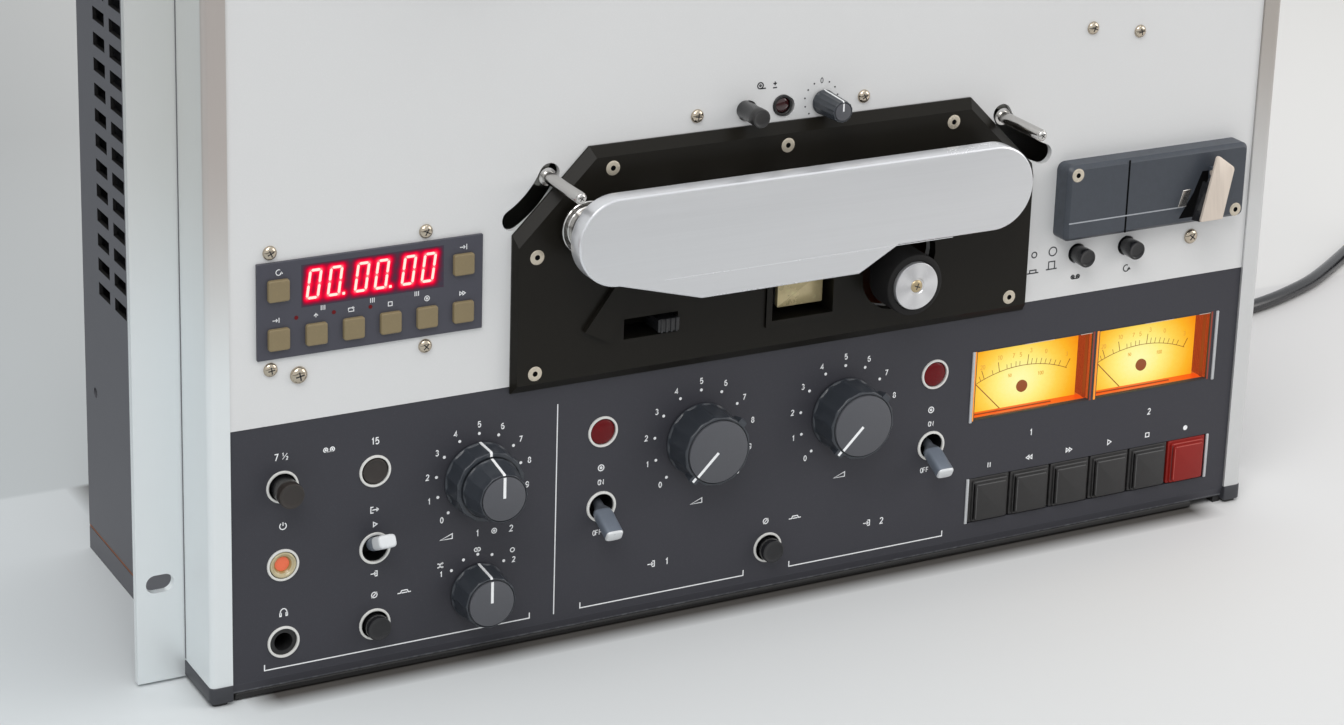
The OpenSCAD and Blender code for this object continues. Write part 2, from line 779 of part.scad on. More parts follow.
// Dark plate that carries the switches, knobs, meters and transport keys
module control_panel() {
    color("dimgray") at_deck() {
        difference() {
            union() {
                rail_profile(-plate_half, plate_half, [[0, panel_top], [0, panel_bottom],
                    [1.2, lip_z], [1.2 + panel_t, lip_z], [panel_t, panel_bottom + 1],
                    [panel_t, panel_top]]);
                // Bushes that the knob shafts turn in
                for (at = [knob_output_at, knob_one_at, knob_two_at, knob_mode_at])
                    post(at, panel_t - weld, panel_t + bush_len, bush_r);
            }
            for (at = fitting_places)
                post(at, -over, panel_t + over, sleeve_r);
            post(knob_output_at, -over, panel_t + bush_len + over, outer_tube_r + fit);
            for (at = [knob_one_at, knob_two_at, knob_mode_at])
                post(at, -over, panel_t + bush_len + over, shaft_r + fit);
            for (i = [0, 1])
                block(meter_x0 + i * meter_pitch, meter_x0 + i * meter_pitch + meter_w, -over,
                    panel_t + over, meter_z0, meter_z0 + meter_h);
            block(key_x0 - gap, key_x0 + key_row_w + gap, -over, panel_t + over,
                key_z0 - gap, key_z1 + gap);
        }
    }
}

// Perforated sheet metal box behind the deck, with its base strip
module rear_cover() {
    inner = cover_half - cover_wall;
    color("dimgray") at_deck() {
        difference() {
            block(-cover_half, cover_half, ear_y, body_d, 0, body_h - panel_bottom + cover_wall);
            block(-inner, inner, ear_y - over, body_d - cover_wall, cover_wall,
                body_h - panel_bottom);
            // Groove over the base strip
            for (side = [-1, 1])
                block(side * cover_half - 0.5, side * cover_half + 0.5, ear_y - over,
                    body_d + over, base_strip_h - 0.4, base_strip_h + 0.4);
            // Vent slots in two columns on both sides
            for (i = [0:vent_count - 1])
                for (y = vent_ys)
                    block(-cover_half - over, cover_half + over, y - vent_w / 2, y + vent_w / 2,
                        vent_z + i * vent_pitch - vent_h / 2, vent_z + i * vent_pitch + vent_h / 2);
            // Screw hole low on each side
            bar(-cover_half - over, cover_half + over, body_d - 11.6, 68.8, 2);
            // Openings behind the connectors
            for (x = xlr_xs)
                post([x, xlr_z], body_d - cover_wall - over, body_d + over, xlr_shell_r + 0.5);
            post(relief_at, body_d - cover_wall - over, body_d + over, relief_r + 1);
        }
    }
}

// The two side rails with their rack ears
module side_rails() {
    ear_in = cover_half + gap;
    color("lightgray") at_deck() {
        for (side = [-1, 1])
            mirror([side < 0 ? 1 : 0, 0, 0])
                difference() {
                    union() {
                        block(inner_half, rail_half - rail_round, -rail_proud, ear_y, cap_h,
                            body_h - cap_h);
                        block(inner_half, rail_half, rail_round - rail_proud, ear_y, cap_h,
                            body_h - cap_h);
                        translate([rail_half - rail_round, rail_round - rail_proud, cap_h])
                            cylinder(h = body_h - 2 * cap_h, r = rail_round);
                        block(ear_in, rail_half, ear_y - weld, ear_y + weld, cap_h,
                            body_h - cap_h);
                        block(ear_in, rack_w / 2, ear_y, ear_y + ear_t, ear_drop,
                            body_h - ear_drop);
                    }
                    for (z = [ear_mid - slot_span_z / 2, ear_mid + slot_span_z / 2])
                        slot_cut([slot_span_x / 2, z], slot_len, slot_r, ear_y - over,
                            ear_y + ear_t + over);
                }
    }
}

// Plastic caps on the ends of the rails; the lower two are the front feet
module corner_caps() {
    color("darkslategray") at_deck() {
        for (side = [0, 1])
            for (top = [0, 1])
                mirror([side, 0, 0])
                    translate([0, 0, top * body_h])
                        mirror([0, 0, top]) {
                            block(inner_half, rail_half + 0.3 - rail_round, -cap_proud, ear_y,
                                0, cap_h);
                            block(inner_half, rail_half + 0.3, rail_round - cap_proud, ear_y, 0,
                                cap_h);
                            translate([rail_half + 0.3 - rail_round, rail_round - cap_proud, 0])
                                cylinder(h = cap_h, r = rail_round);
                            block(inner_half - 5.5, inner_half + weld, -0.6, ear_y - 6, 0,
                                lip_z - 0.3);
                        }
    }
}

// Bevelled dark plate around the tape path with its two recesses
module head_housing() {
    h = housing_half;
    c = housing_corner;
    z0 = housing_z0;
    z1 = housing_z1;
    color("darkslategray") at_deck() {
        difference() {
            union() {
                plate_outline(housing_y, 0, [[-h, z0], [h, z0], [h, z1 - c], [h - c, z1],
                    [c - h, z1], [-h, z1 - c]]);
                block(window_x0 - tub_wall + 0.1, window_x1 + tub_wall - 0.1, -weld,
                    tub_depth + tub_wall, window_z0 - tub_wall + 0.1, window_z1 + tub_wall - 0.1);
                block(edit_x0 - tub_wall + 0.1, edit_x1 + tub_wall - 0.1, -weld,
                    tub_depth + tub_wall, edit_z0 - tub_wall + 0.1, edit_z1 + tub_wall - 0.1);
                // Raised frame of the window and the slanting rib beside the edit slide
                block(window_x0 - 2.4, window_x1 + 2.4, housing_y - 1, 0, window_z0 - 2.4,
                    window_z1 + 2.4);
                plate_outline(housing_y - 2, 0, [[-62, 137], [-71, 137], [-82.6, 121.4],
                    [-72.5, 116.1]]);
                // Stud of the guide roller
                post([-roller_x, roller_z], -roller_reach + 2, housing_y + weld, 2.5);
            }
            // Bevels along the top, the cut corners, the sides and the bottom
            bevel([0, z1], 0, 2 * h, bevel_w);
            bevel([0, z0], 180, 3 * h, bevel_w);
            for (side = [-1, 1]) {
                bevel([side * (h - c / 2), z1 - c / 2], side * 45, 2 * c, bevel_w);
                bevel([side * h, z0], side * 90, 3 * h, 1.2);
            }
            pinch_opening(housing_y - over, over);
            post([capstan_x, capstan_z], housing_y - over, over, capstan_r + 1);
            block(window_x0, window_x1, housing_y - 2, tub_depth, window_z0, window_z1);
            block(edit_x0, edit_x1, housing_y - over, tub_depth, edit_z0, edit_z1);
            // Groove in which the edit lever's foot slides
            block(edit_x0 + 1, edit_x1 - 1, tub_depth - over, tub_depth + tub_wall + over,
                edit_mid - 1.6, edit_mid + 1.6);
        }
    }
}

// Wedge that cuts a bevel into the front edge of the head housing at [x, z], turned by angle
module bevel(at, angle, length, w) {
    translate([at[0], 0, at[1]])
        rotate([0, angle, 0])
            rail_profile(-length / 2, length / 2, [[housing_y - over, over],
                [housing_y - over, -w - over * w / (housing_t - 0.8)], [-0.8, 0.001], [-0.8, over]]);
}

// Plate with the three tape heads, their guide posts, the cover's hinge ears and the window piece
module head_block() {
    color("silver") at_deck() {
        difference() {
            union() {
                block(block_x0, block_x1, block_y, housing_y, block_z0, block_z1);
                for (x = lug_xs)
                    hinge_ear(x + lug_w + gap);
            }
            post([capstan_x, capstan_z], block_y - over, housing_y + over, capstan_r + 1);
        }
        for (x = head_xs)
            difference() {
                union() {
                    block(x - head_w / 2, x + head_w / 2, head_y, block_y, head_z + 4, head_z + 17);
                    translate([x, block_y, head_z + 9])
                        rotate([90, 0, 0])
                            cylinder(h = block_y - head_y, r = 9);
                }
                block(x - head_w, x + head_w, head_y - over, block_y + over, head_z + 17,
                    head_z + 30);
                for (side = [-1, 1])
                    translate([side * head_w + x, 0, 0])
                        block(-head_w / 2, head_w / 2, head_y - over, block_y + over, head_z - 5,
                            head_z + 30);
            }
        for (x = [head_xs[0] - 14, (head_xs[1] + head_xs[2]) / 2, head_xs[2] + 15])
            post([x, head_z + 4], head_y + 2, block_y, 2.2);
        // Cream piece in the window
        block(window_x0 + 5, window_x1 - 2.6, 1, tub_depth, window_z0 + 3.4, window_z1 - 0.3);
    }
}

// Bearing ear of the head cover's hinge, from x on
module hinge_ear(x) {
    difference() {
        union() {
            block(x, x + ear_w, hinge_y, housing_y, hinge_z - 3, block_z0 + 3);
            bar(x, x + ear_w, hinge_y, hinge_z, 3);
        }
        bar(x - over, x + ear_w + over, hinge_y, hinge_z, hinge_r + fit);
    }
}

// Grooved block for cutting and joining tape, with the ears of its cutter
module splicing_block() {
    x1 = splice_x0 + splice_w;
    z1 = splice_z0 + splice_h;
    face = -splice_t;
    color("slategray") at_deck() {
        difference() {
            union() {
                block(splice_x0, x1, face, 0, splice_z0, z1);
                for (x = cutter_ear_xs) {
                    block(x, x + cutter_ear, cutter_y, face + weld, cutter_z - 2.2, cutter_z + 2.2);
                    bar(x, x + cutter_ear, cutter_y, cutter_z, 2.2);
                }
            }
            // Tape groove, a step at its lower side that fades out upward
            rail_profile(splice_x0 - over, x1 + over, [[face - over, groove_z],
                [face + groove_deep, groove_z], [face, groove_z + groove_w],
                [face - over, groove_z + groove_w]]);
            // Upright slit and the slanting pocket under the cutter
            block(slit_x - 0.4, slit_x + 0.4, face - over, face + 2.5, splice_z0 - over, z1 + over);
            plate_outline(face - over, face + 4.5, [[cutter_x - 3.5, splice_z0 + 3],
                [cutter_x + 3, splice_z0 + 3], [cutter_x + 7.5, cutter_z - 3],
                [cutter_x + 4, cutter_z - 3]]);
            bar(cutter_ear_xs[0] - over, cutter_ear_xs[1] + cutter_ear + over, cutter_y, cutter_z,
                cutter_pin_r + fit);
        }
        // Counter blade beside the pocket
        difference() {
            plate_outline(face - 0.4, face + groove_deep, [[cutter_x - 8, groove_z + 0.2],
                [cutter_x - 4, groove_z + 0.2], [cutter_x - 2, groove_z + 7],
                [cutter_x - 6, groove_z + 7]]);
            post([cutter_x - 5, groove_z + 3.7], face - over, face + groove_deep + over, 0.8);
        }
    }
}

// Counter frame with its key openings, display window and body behind the deck
module counter_module() {
    color("darkslategray") at_deck() {
        difference() {
            union() {
                block(count_x0, count_x1, -counter_out, 0, count_z0, count_z1);
                block(count_x0 + 2.1, count_x1 - 2.1, -weld, deck_t + count_body, count_z0 + 2.1,
                    count_z1 - 2.1);
            }
            for (at = count_places)
                block(at[0] - count_key / 2 - gap, at[0] + count_key / 2 + gap,
                    -counter_out - over, deck_t + 2, at[1] - count_key / 2 - gap,
                    at[1] + count_key / 2 + gap);
            block(-counter_x - display_half, -counter_x + display_half, -counter_out - over, 1.5,
                display_z0, display_z1);
        }
    }
}

// Two meter cases with their scale cards
module vu_meters() {
    color("goldenrod") at_deck() {
        for (i = [0, 1])
            translate([meter_x0 + i * meter_pitch, 0, 0])
                difference() {
                    block(-case_wall, meter_w + case_wall, panel_t, card_depth + case_back, case_z0,
                        meter_z0 + meter_h + case_wall);
                    block(0, meter_w, panel_t - over, card_depth, case_z0 + case_wall,
                        meter_z0 + meter_h);
                    post([meter_w / 2, pivot_z], card_depth - over, card_depth + case_back + over,
                        pivot_r + fit);
                }
    }
}

// Bezel rings with their sleeves, lamp lenses, the phones socket and the light bars
module panel_fittings() {
    color("gainsboro") at_deck() {
        for (at = button_places)
            ring_sleeve(at, ring_bore, sleeve_len);
        for (at = toggle_places)
            difference() {
                ring_sleeve(at, toggle_bore, sleeve_len);
                bar(at[0] - sleeve_r - over, at[0] + sleeve_r + over, toggle_y, at[1],
                    toggle_pin_r + fit);
            }
        ring_sleeve(phones_at, jack_r, jack_len);
        for (at = [lamp_one_at, lamp_two_at]) {
            ring_sleeve(at, ring_bore, sleeve_len);
            lens(at, ring_bore, panel_t + 3);
        }
        lens(vari_lamp_at, lamp_small_r, deck_t + 3);
        for (x = [meter_x0 - bar_w, key_x0 + key_row_w + gap])
            block(x, x + bar_w, -bar_out, 0, meter_z0 - 0.9, meter_z0 + meter_h + 0.2);
        for (x = [key_x0 - gap - bar_w, key_x0 + key_row_w + gap])
            block(x, x + bar_w, -bar_out, 0, key_z0 - 0.3, key_z1 + 0.3);
    }
}

// A ring on the panel face with a sleeve through the panel
module ring_sleeve(at, bore, length) {
    difference() {
        union() {
            taper(at, -ring_out, 0, ring_r - 0.5, ring_r);
            post(at, -weld, panel_t + length, sleeve_r);
        }
        post(at, -ring_out - over, panel_t + length + over, bore);
    }
}

// A domed lens of radius r at [x, z], back to y1
module lens(at, r, y1) {
    translate([at[0], y1, at[1]])
        rotate([90, 0, 0])
            rotate_extrude()
                polygon(concat([[0, 0], [r, 0]],
                    [for (i = [0:4]) [r * cos(i * 22.5), y1 - 0.4 + 1.6 * sin(i * 22.5)]]));
}

// Connector plate with four round sockets, and the strain relief of the mains lead
module connector_panel() {
    y0 = body_d;
    y1 = body_d + plate_t;
    color("dimgray") at_deck() {
        difference() {
            union() {
                block(conn_x0, conn_x1, y0, y1, conn_z0, conn_z1);
                for (x = xlr_xs) {
                    post([x, xlr_z], y0 - xlr_deep, y1 + 1.5, xlr_shell_r);
                    block(x - xlr_half_w, x + xlr_half_w, y0, y1 + 1, xlr_z - xlr_half_h,
                        xlr_z + xlr_half_h);
                }
                post(relief_at, y0 - 6, y1, relief_r + 0.8);
                translate([relief_at[0], y1, relief_at[1]])
                    rotate([-90, 0, 0])
                        cylinder(h = relief_len, r1 = relief_r, r2 = cord_d / 2 + 1.1);
            }
            for (x = xlr_xs)
                difference() {
                    post([x, xlr_z], y0 + 2 - xlr_deep, y1 + 2 + over, xlr_bore);
                    if (x > (xlr_xs[1] + xlr_xs[2]) / 2)
                        post([x, xlr_z], y0 + 1 - xlr_deep, y1, xlr_core);
                }
            // Ribs of the strain relief
            for (i = [0:4])
                translate([relief_at[0], y1 + 5 + i * 5, relief_at[1]])
                    rotate([-90, 0, 0])
                        difference() {
                            cylinder(h = 2, r = relief_r + 2);
                            translate([0, 0, -over])
                                cylinder(h = 2 + 2 * over, r = cord_d / 2 + 0.9);
                        }
        }
        // Contact pins of the two plug-type sockets
        for (x = [xlr_xs[0], xlr_xs[1]])
            for (a = [90, 210, 330])
                post([x + xlr_pin * cos(a), xlr_z + xlr_pin * sin(a)], y0 + 1 - xlr_deep, y0 - 4,
                    1.2);
    }
}

// A reel table with its spindle and shaft, at x
module reel_table(x) {
    at = [x, reel_z];
    front = reel_table_y - reel_table_t;
    difference() {
        union() {
            post(at, front, reel_table_y, reel_table_r);
            taper(at, front - 1.2, front, reel_table_r - 6, reel_table_r - 4);
            post(at, front - 3, front, 14);
            post(at, -reel_reach + 3, front, reel_spindle_r);
            taper(at, -reel_reach, -reel_reach + 3, reel_spindle_r - 1.4, reel_spindle_r);
            // Collar at the foot of the spindle with its three drive wings
            post(at, front - wing_len, front, reel_spindle_r + 0.8);
            for (a = [90, 210, 330])
                translate([x, front, reel_z])
                    rotate([90, -a, 0])
                        translate([0, -0.9, 0])
                            cube([reel_spindle_r + 1.9, 1.8, wing_len]);
            post(at, reel_table_y, deck_t + 2, reel_hole_r - 1.5);
            post(at, deck_t, mount_y + 12, reel_shaft_r);
        }
        // Rings turned into the face
        for (r = reel_grooves)
            difference() {
                post(at, front - 2, front - 0.6, r + 0.7);
                post(at, front - 3, front, r - 0.7);
            }
    }
}

module reel_table_left() {
    color("silver") at_deck()
        reel_table(-reel_x);
}

module reel_table_right() {
    color("silver") at_deck()
        reel_table(reel_x);
}

// A tension arm with its guide rod, side -1 left and 1 right
module tension_arm(side) {
    mirror([side > 0 ? 1 : 0, 0, 0])
        difference() {
            union() {
                post([-arm_x, arm_z], arm_y, arm_y + hub_len, hub_r);
                post([-rod_x, rod_z], arm_y, arm_y + arm_t, rod_r + 2);
                link([-arm_x, arm_z], [-rod_x, rod_z], 6, arm_y, arm_y + arm_t);
                post([-rod_x, rod_z], -rod_reach + 1.2, arm_y + weld, rod_r);
                taper([-rod_x, rod_z], -rod_reach, -rod_reach + 1.2, rod_r - 1, rod_r);
            }
            post([-arm_x, arm_z], arm_y - over, arm_y + hub_len + over, stud_r + fit);
        }
}

module tension_arm_left() {
    color("silver") at_deck()
        tension_arm(-1);
}

module tension_arm_right() {
    color("silver") at_deck()
        tension_arm(1);
}

// Arm behind the deck that lifts the pinch roller, with its axle
module pinch_arm() {
    at = [pinch_arm_x, pinch_arm_z];
    color("dimgray") at_deck()
        difference() {
            union() {
                post(at, arm_y, arm_y + hub_len, hub_r);
                post([pinch_x, pinch_z], arm_y, arm_y + arm_t, 5.5);
                link(at, [pinch_x, pinch_z], 8, arm_y, arm_y + arm_t);
                post([pinch_x, pinch_z], -pinch_reach + pinch_cap_t + gap, arm_y + weld, axle_r);
            }
            post(at, arm_y - over, arm_y + hub_len + over, stud_r + fit);
        }
}

// Rubber roller with its aluminium cap
module pinch_roller() {
    at = [pinch_x, pinch_z];
    color("black") at_deck()
        difference() {
            union() {
                post(at, -pinch_reach + pinch_cap_t + 0.6, housing_y - 1, pinch_r);
                taper(at, -pinch_reach + pinch_cap_t, -pinch_reach + pinch_cap_t + 0.6, pinch_r - 0.6,
                    pinch_r);
                post(at, -pinch_reach + 0.3, -pinch_reach + pinch_cap_t + weld, pinch_cap_r);
                taper(at, -pinch_reach, -pinch_reach + 0.3, pinch_cap_r - 0.3, pinch_cap_r);
            }
            post(at, -pinch_reach + pinch_cap_t, housing_y + over, axle_r + fit);
        }
}

module capstan() {
    at = [capstan_x, capstan_z];
    color("silver") at_deck() {
        post(at, -capstan_reach + 1, mount_y + 12, capstan_r);
        taper(at, -capstan_reach, -capstan_reach + 1, capstan_r - 0.6, capstan_r);
    }
}

// Flanged roller at the left end of the tape path
module guide_roller() {
    at = [-roller_x, roller_z];
    y0 = -roller_reach;
    y1 = housing_y - 1;
    color("silver") at_deck()
        difference() {
            union() {
                post(at, y0, y1, roller_r - 2);
                for (y = [y0, y1 - 1.6])
                    post(at, y, y + 1.6, roller_r);
                taper(at, y0 - 0.5, y0, 4, 5);
            }
            post(at, y0 + 1.5, y1 + over, 2.5 + fit);
        }
}

// Outline of the head cover from y0 to y1, drawn in by inset
module hood_outline(y0, y1, inset) {
    r = hood_r - inset;
    for (side = [-1, 1])
        post([side * hood_cx, hood_z], y0, y1, r);
    block(-hood_cx, hood_cx, y0, y1, hood_z - r, hood_z + r);
    plate_outline(y0, y1, [[-hood_cx, hood_low + inset], [nose_left, nose_z + inset],
        [nose_right, nose_z + inset], [nose_right + nose_slope, hood_low + inset],
        [nose_right, hood_low + inset + 1], [-hood_cx, hood_low + inset + 1]]);
}

// Aluminium cover over the heads, with its rim and hinge lugs
module head_cover() {
    y0 = -hood_reach;
    color("silver") at_deck() {
        difference() {
            hood_outline(y0, hinge_y, 0);
            hood_outline(y0 + hood_t, hinge_y + over, hood_t);
            // The rim ends above the nose, so that the pinch roller can pass
            block(-hood_half - over, hood_half + over, y0 + hood_t, hinge_y + over, nose_z - over,
                hood_z - 4);
        }
        for (x = lug_xs) {
            block(x, x + lug_w, y0 + hood_t - weld, hinge_y, hinge_z - 2, hinge_z + 3);
            bar(x, x + lug_w, hinge_y, hinge_z, 2.4);
            bar(x, x + lug_w + gap + ear_w, hinge_y, hinge_z, hinge_r);
        }
    }
}

// Sheet metal lever of the tape cutter, tilted out at rest, with its blade along the left edge
module cutter_lever() {
    top = 7.4;
    bottom = top - cutter_len;
    lean = cutter_lean / cutter_len;
    face = -3.6;
    color("silver") at_deck()
        translate([cutter_x, cutter_y, cutter_z])
            rotate([-cutter_tilt, 0, 0]) {
                plate_outline(face - 1.2, face, [[0, bottom], [cutter_w, bottom],
                    [cutter_w + cutter_lean - 5.5 * lean, top - 5.5], [cutter_lean, top]]);
                plate_outline(face - weld, 2.6, [[0, bottom], [0.8, bottom],
                    [0.8 + (cutter_len - 10.5) * lean, top - 10.5],
                    [(cutter_len - 10.5) * lean, top - 10.5]]);
                // Knuckle between the ears and its pin
                block(cutter_knuckle_x - cutter_x, cutter_knuckle_x + cutter_knuckle - cutter_x,
                    face - weld, 0, -1.6, 1.6);
                bar(cutter_knuckle_x - cutter_x, cutter_knuckle_x + cutter_knuckle - cutter_x, 0, 0,
                    2);
                bar(cutter_ear_xs[0] - cutter_x, cutter_ear_xs[1] + cutter_ear - cutter_x, 0, 0,
                    cutter_pin_r);
            }
}

// Small slide that moves the tape lifters for editing
module edit_lever() {
    color("black") at_deck() {
        block(edit_x1 - gap - edit_w, edit_x1 - gap, 0, tub_depth - gap, edit_mid - 3,
            edit_mid + 3);
        block(edit_x1 - gap - edit_w + 1, edit_x1 - gap, -9, weld, edit_mid - 0.4, edit_mid + 3);
        block(edit_x1 - gap - edit_w + 2, edit_x1 - gap - 2, tub_depth - gap - weld,
            tub_depth + tub_wall + 1, edit_mid - 1.3, edit_mid + 1.3);
    }
}

// A grip knob: radius r_foot at its back y1 and r_face at its front y0, with flutes and a skirt
module knob(at, y0, y1, r_foot, r_face, flutes) {
    difference() {
        union() {
            taper(at, y0 + 0.9, y1, r_face, r_foot);
            taper(at, y0, y0 + 0.9, r_face - 0.9, r_face);
        }
        for (i = [0:flutes - 1])
            translate([at[0], 0, at[1]])
                rotate([0, (i + 0.5) * 360 / flutes, 0])
                    post([0, r_foot + flute_out], y0 - over, y1 - knob_skirt, flute_r);
    }
}

// Pointer groove in a knob's face, turned clockwise by angle
module pointer(at, y0, angle, r0, r1) {
    translate([at[0], y0, at[1]])
        rotate([0, angle, 0])
            block(-pointer_w / 2, pointer_w / 2, -over, pointer_deep, r0, r1 + over);
}

module output_knob_outer() {
    color("dimgray") at_deck()
        difference() {
            union() {
                knob(knob_output_at, -knob_outer_reach, -knob_gap, knob_r, knob_r - 0.3, knob_flutes);
                post(knob_output_at, -knob_gap - over, panel_t + bush_len + 1, outer_tube_r);
            }
            pointer(knob_output_at, -knob_outer_reach, 0, knob_inner_r, knob_r);
            post(knob_output_at, -knob_outer_reach - over, panel_t + bush_len + 1 + over,
                shaft_r + fit);
        }
}

module output_knob_inner() {
    back = -knob_outer_reach - gap;
    color("dimgray") at_deck()
        difference() {
            union() {
                knob(knob_output_at, -knob_inner_reach, back, knob_inner_r,
                    knob_inner_r - knob_inner_taper, 12);
                post(knob_output_at, back - over, panel_t + bush_len + 4, shaft_r);
            }
            pointer(knob_output_at, -knob_inner_reach, 0, 1.5, knob_inner_r);
        }
}

// A plain knob with its shaft and pointer
module panel_knob(at, length, r_foot, r_face, angle) {
    color("dimgray") at_deck()
        difference() {
            union() {
                knob(at, -length, -knob_gap, r_foot, r_face, knob_flutes);
                post(at, -knob_gap - over, panel_t + bush_len + 3, shaft_r);
            }
            pointer(at, -length, angle, 4, r_face);
        }
}

module mode_knob() {
    panel_knob(knob_mode_at, knob_mode_len, knob_mode_r, knob_mode_r - 2.4, 0);
}

module input_knob_one() {
    panel_knob(knob_one_at, knob_len, knob_r, knob_r - 1.4, input_rest);
}

module input_knob_two() {
    panel_knob(knob_two_at, knob_len, knob_r, knob_r - 1.4, input_rest);
}

module varispeed_knob() {
    color("black") at_deck()
        difference() {
            union() {
                taper(vari_knob_at, -vari_knob_reach, -vari_knob_reach + 0.5, vari_knob_r - 0.5,
                    vari_knob_r);
                post(vari_knob_at, -vari_knob_reach + 0.5, -knob_gap, vari_knob_r);
                post(vari_knob_at, -knob_gap - over, deck_t + small_sleeve + 3, vari_shaft_r);
            }
            pointer(vari_knob_at, -vari_knob_reach, 0, 0.6, vari_knob_r);
        }
}

// A push button that stands out by reach, guided to the depth y1, with a collar behind its sleeve
module push_button(at, r, reach, y1, collar_y, collar_r) {
    taper(at, -reach, -reach + 0.6, r - 0.6, r);
    post(at, -reach + 0.6, y1, r);
    post(at, y1 - weld, collar_y + weld, 2);
    post(at, collar_y, collar_y + 1.5, collar_r);
}

// A button in a panel ring; its collar lets it move out by spare
module ring_button(at, reach, spare) {
    sleeve_y = panel_t + sleeve_len;
    push_button(at, button_r, reach, sleeve_y - speed_travel - 1, sleeve_y + gap + spare, sleeve_r - gap);
}

module power_button() {
    color("peachpuff") at_deck()
        ring_button(power_at, power_reach, 0);
}

module slow_speed_button() {
    color("black") at_deck()
        ring_button(slow_at, speed_reach, 0);
}

module fast_speed_button() {
    color("black") at_deck()
        ring_button(fast_at, speed_reach - speed_travel, speed_travel);
}

module output_uncal_button() {
    color("black") at_deck()
        ring_button(uncal_out_at, uncal_reach, 0);
}

module input_uncal_button() {
    color("black") at_deck()
        ring_button(uncal_in_at, uncal_reach, 0);
}

// A small black button in the deck
module deck_button(at, reach) {
    sleeve_y = deck_t + small_sleeve;
    color("black") at_deck()
        push_button(at, small_r, reach, sleeve_y - small_travel - 1, sleeve_y + gap, small_r + 1.3);
}

module varispeed_button() {
    deck_button(vari_button_at, vari_button_reach);
}

module reel_size_button() {
    deck_button(size_at, small_reach);
}

module tape_dump_button() {
    deck_button(dump_at, small_reach);
}

// A transport key with a hollowed face, i places from the left
module transport_key(i, shade) {
    x = key_x0 + i * key_pitch;
    color(shade) at_deck()
        difference() {
            rail_profile(x, x + key_w, [[key_depth, key_z0], [-key_out + key_bevel, key_z0],
                [-key_out, key_z0 + key_bevel], [-key_out, key_z1 - key_bevel],
                [-key_out + key_bevel, key_z1], [key_depth, key_z1]]);
            bar(x - over, x + key_w + over, -key_out - dish_r + dish_deep, (key_z0 + key_z1) / 2,
                dish_r);
        }
}

module pause_key() {
    transport_key(0, "dimgray");
}

module rewind_key() {
    transport_key(1, "dimgray");
}

module forward_key() {
    transport_key(2, "dimgray");
}

module play_key() {
    transport_key(3, "dimgray");
}

module stop_key() {
    transport_key(4, "dimgray");
}

module record_key() {
    transport_key(5, "firebrick");
}

// A square counter key with rounded corners, number i in the list of places
module counter_key(i) {
    at = count_places[i];
    h = count_key / 2;
    c = count_round;
    corners = [[h - c, h - c], [c - h, h - c], [c - h, c - h], [h - c, c - h]];
    color("tan") at_deck()
        translate([at[0], 0, at[1]])
            plate_outline(-counter_out - count_key_out, deck_t,
                [for (k = [0:3]) for (a = [0:30:90])
                    [corners[k][0] + c * cos(k * 90 + a), corners[k][1] + c * sin(k * 90 + a)]]);
}

module zero_locate_key() {
    counter_key(0);
}

module address_locate_key() {
    counter_key(1);
}

module repeat_key() {
    counter_key(2);
}

module set_key() {
    counter_key(3);
}

module select_key() {
    counter_key(4);
}

module step_key() {
    counter_key(5);
}

module reset_key() {
    counter_key(6);
}

module transfer_key() {
    counter_key(7);
}

// A toggle lever with a flattened tip and its cross pin, turned down by tilt
module toggle(at, tilt) {
    translate([at[0], toggle_y, at[1]])
        rotate([tilt, 0, 0]) {
            difference() {
                post([0, 0], -toggle_len, 1, toggle_r);
                for (side = [-1, 1])
                    translate([0, -toggle_len - over, side * (toggle_flat + 5)])
                        rotate([side * 6, 0, 0])
                            translate([-5, 0, -5])
                                cube([10, 10, 10]);
            }
            block(-toggle_tip / 2, toggle_tip / 2, -toggle_len, toggle_grip - toggle_len,
                -toggle_flat, toggle_flat);
        }
    bar(at[0] - sleeve_r + 0.4, at[0] + sleeve_r - 0.4, toggle_y, at[1], toggle_pin_r);
}

module output_toggle() {
    color("white") at_deck()
        toggle(output_at, -toggle_tilt);
}

module ready_toggle_one() {
    color("silver") at_deck()
        toggle(ready_one_at, toggle_tilt);
}

module ready_toggle_two() {
    color("silver") at_deck()
        toggle(ready_two_at, toggle_tilt);
}

// A meter needle at rest, number i from the left
module meter_needle(i) {
    at = [meter_x0 + i * meter_pitch + meter_w / 2, pivot_z];
    color("black") at_deck() {
        post(at, needle_y - 0.6, needle_y + 0.6, 2.2);
        post(at, needle_y, card_depth + case_back + 0.5, pivot_r);
        translate([at[0], needle_y, at[1]])
            rotate([0, -needle_angle, 0])
                block(-0.3, 0.3, -0.25, 0.25, 0, needle_len);
    }
}

module meter_needle_one() {
    meter_needle(0);
}

module meter_needle_two() {
    meter_needle(1);
}

// Mains lead from the strain relief to the coil, and its tail from the coil to the plug
module mains_cord() {
    color("black") {
        tube(cord_path, cord_d, 10);
        tube(tail_path, cord_d, 10);
    }
}

// Coiled rest of the mains lead
module cord_coil() {
    echo(coil_gap = coil_gap);
    color("black")
        tube(coil_path, cord_d, coil_sides);
}

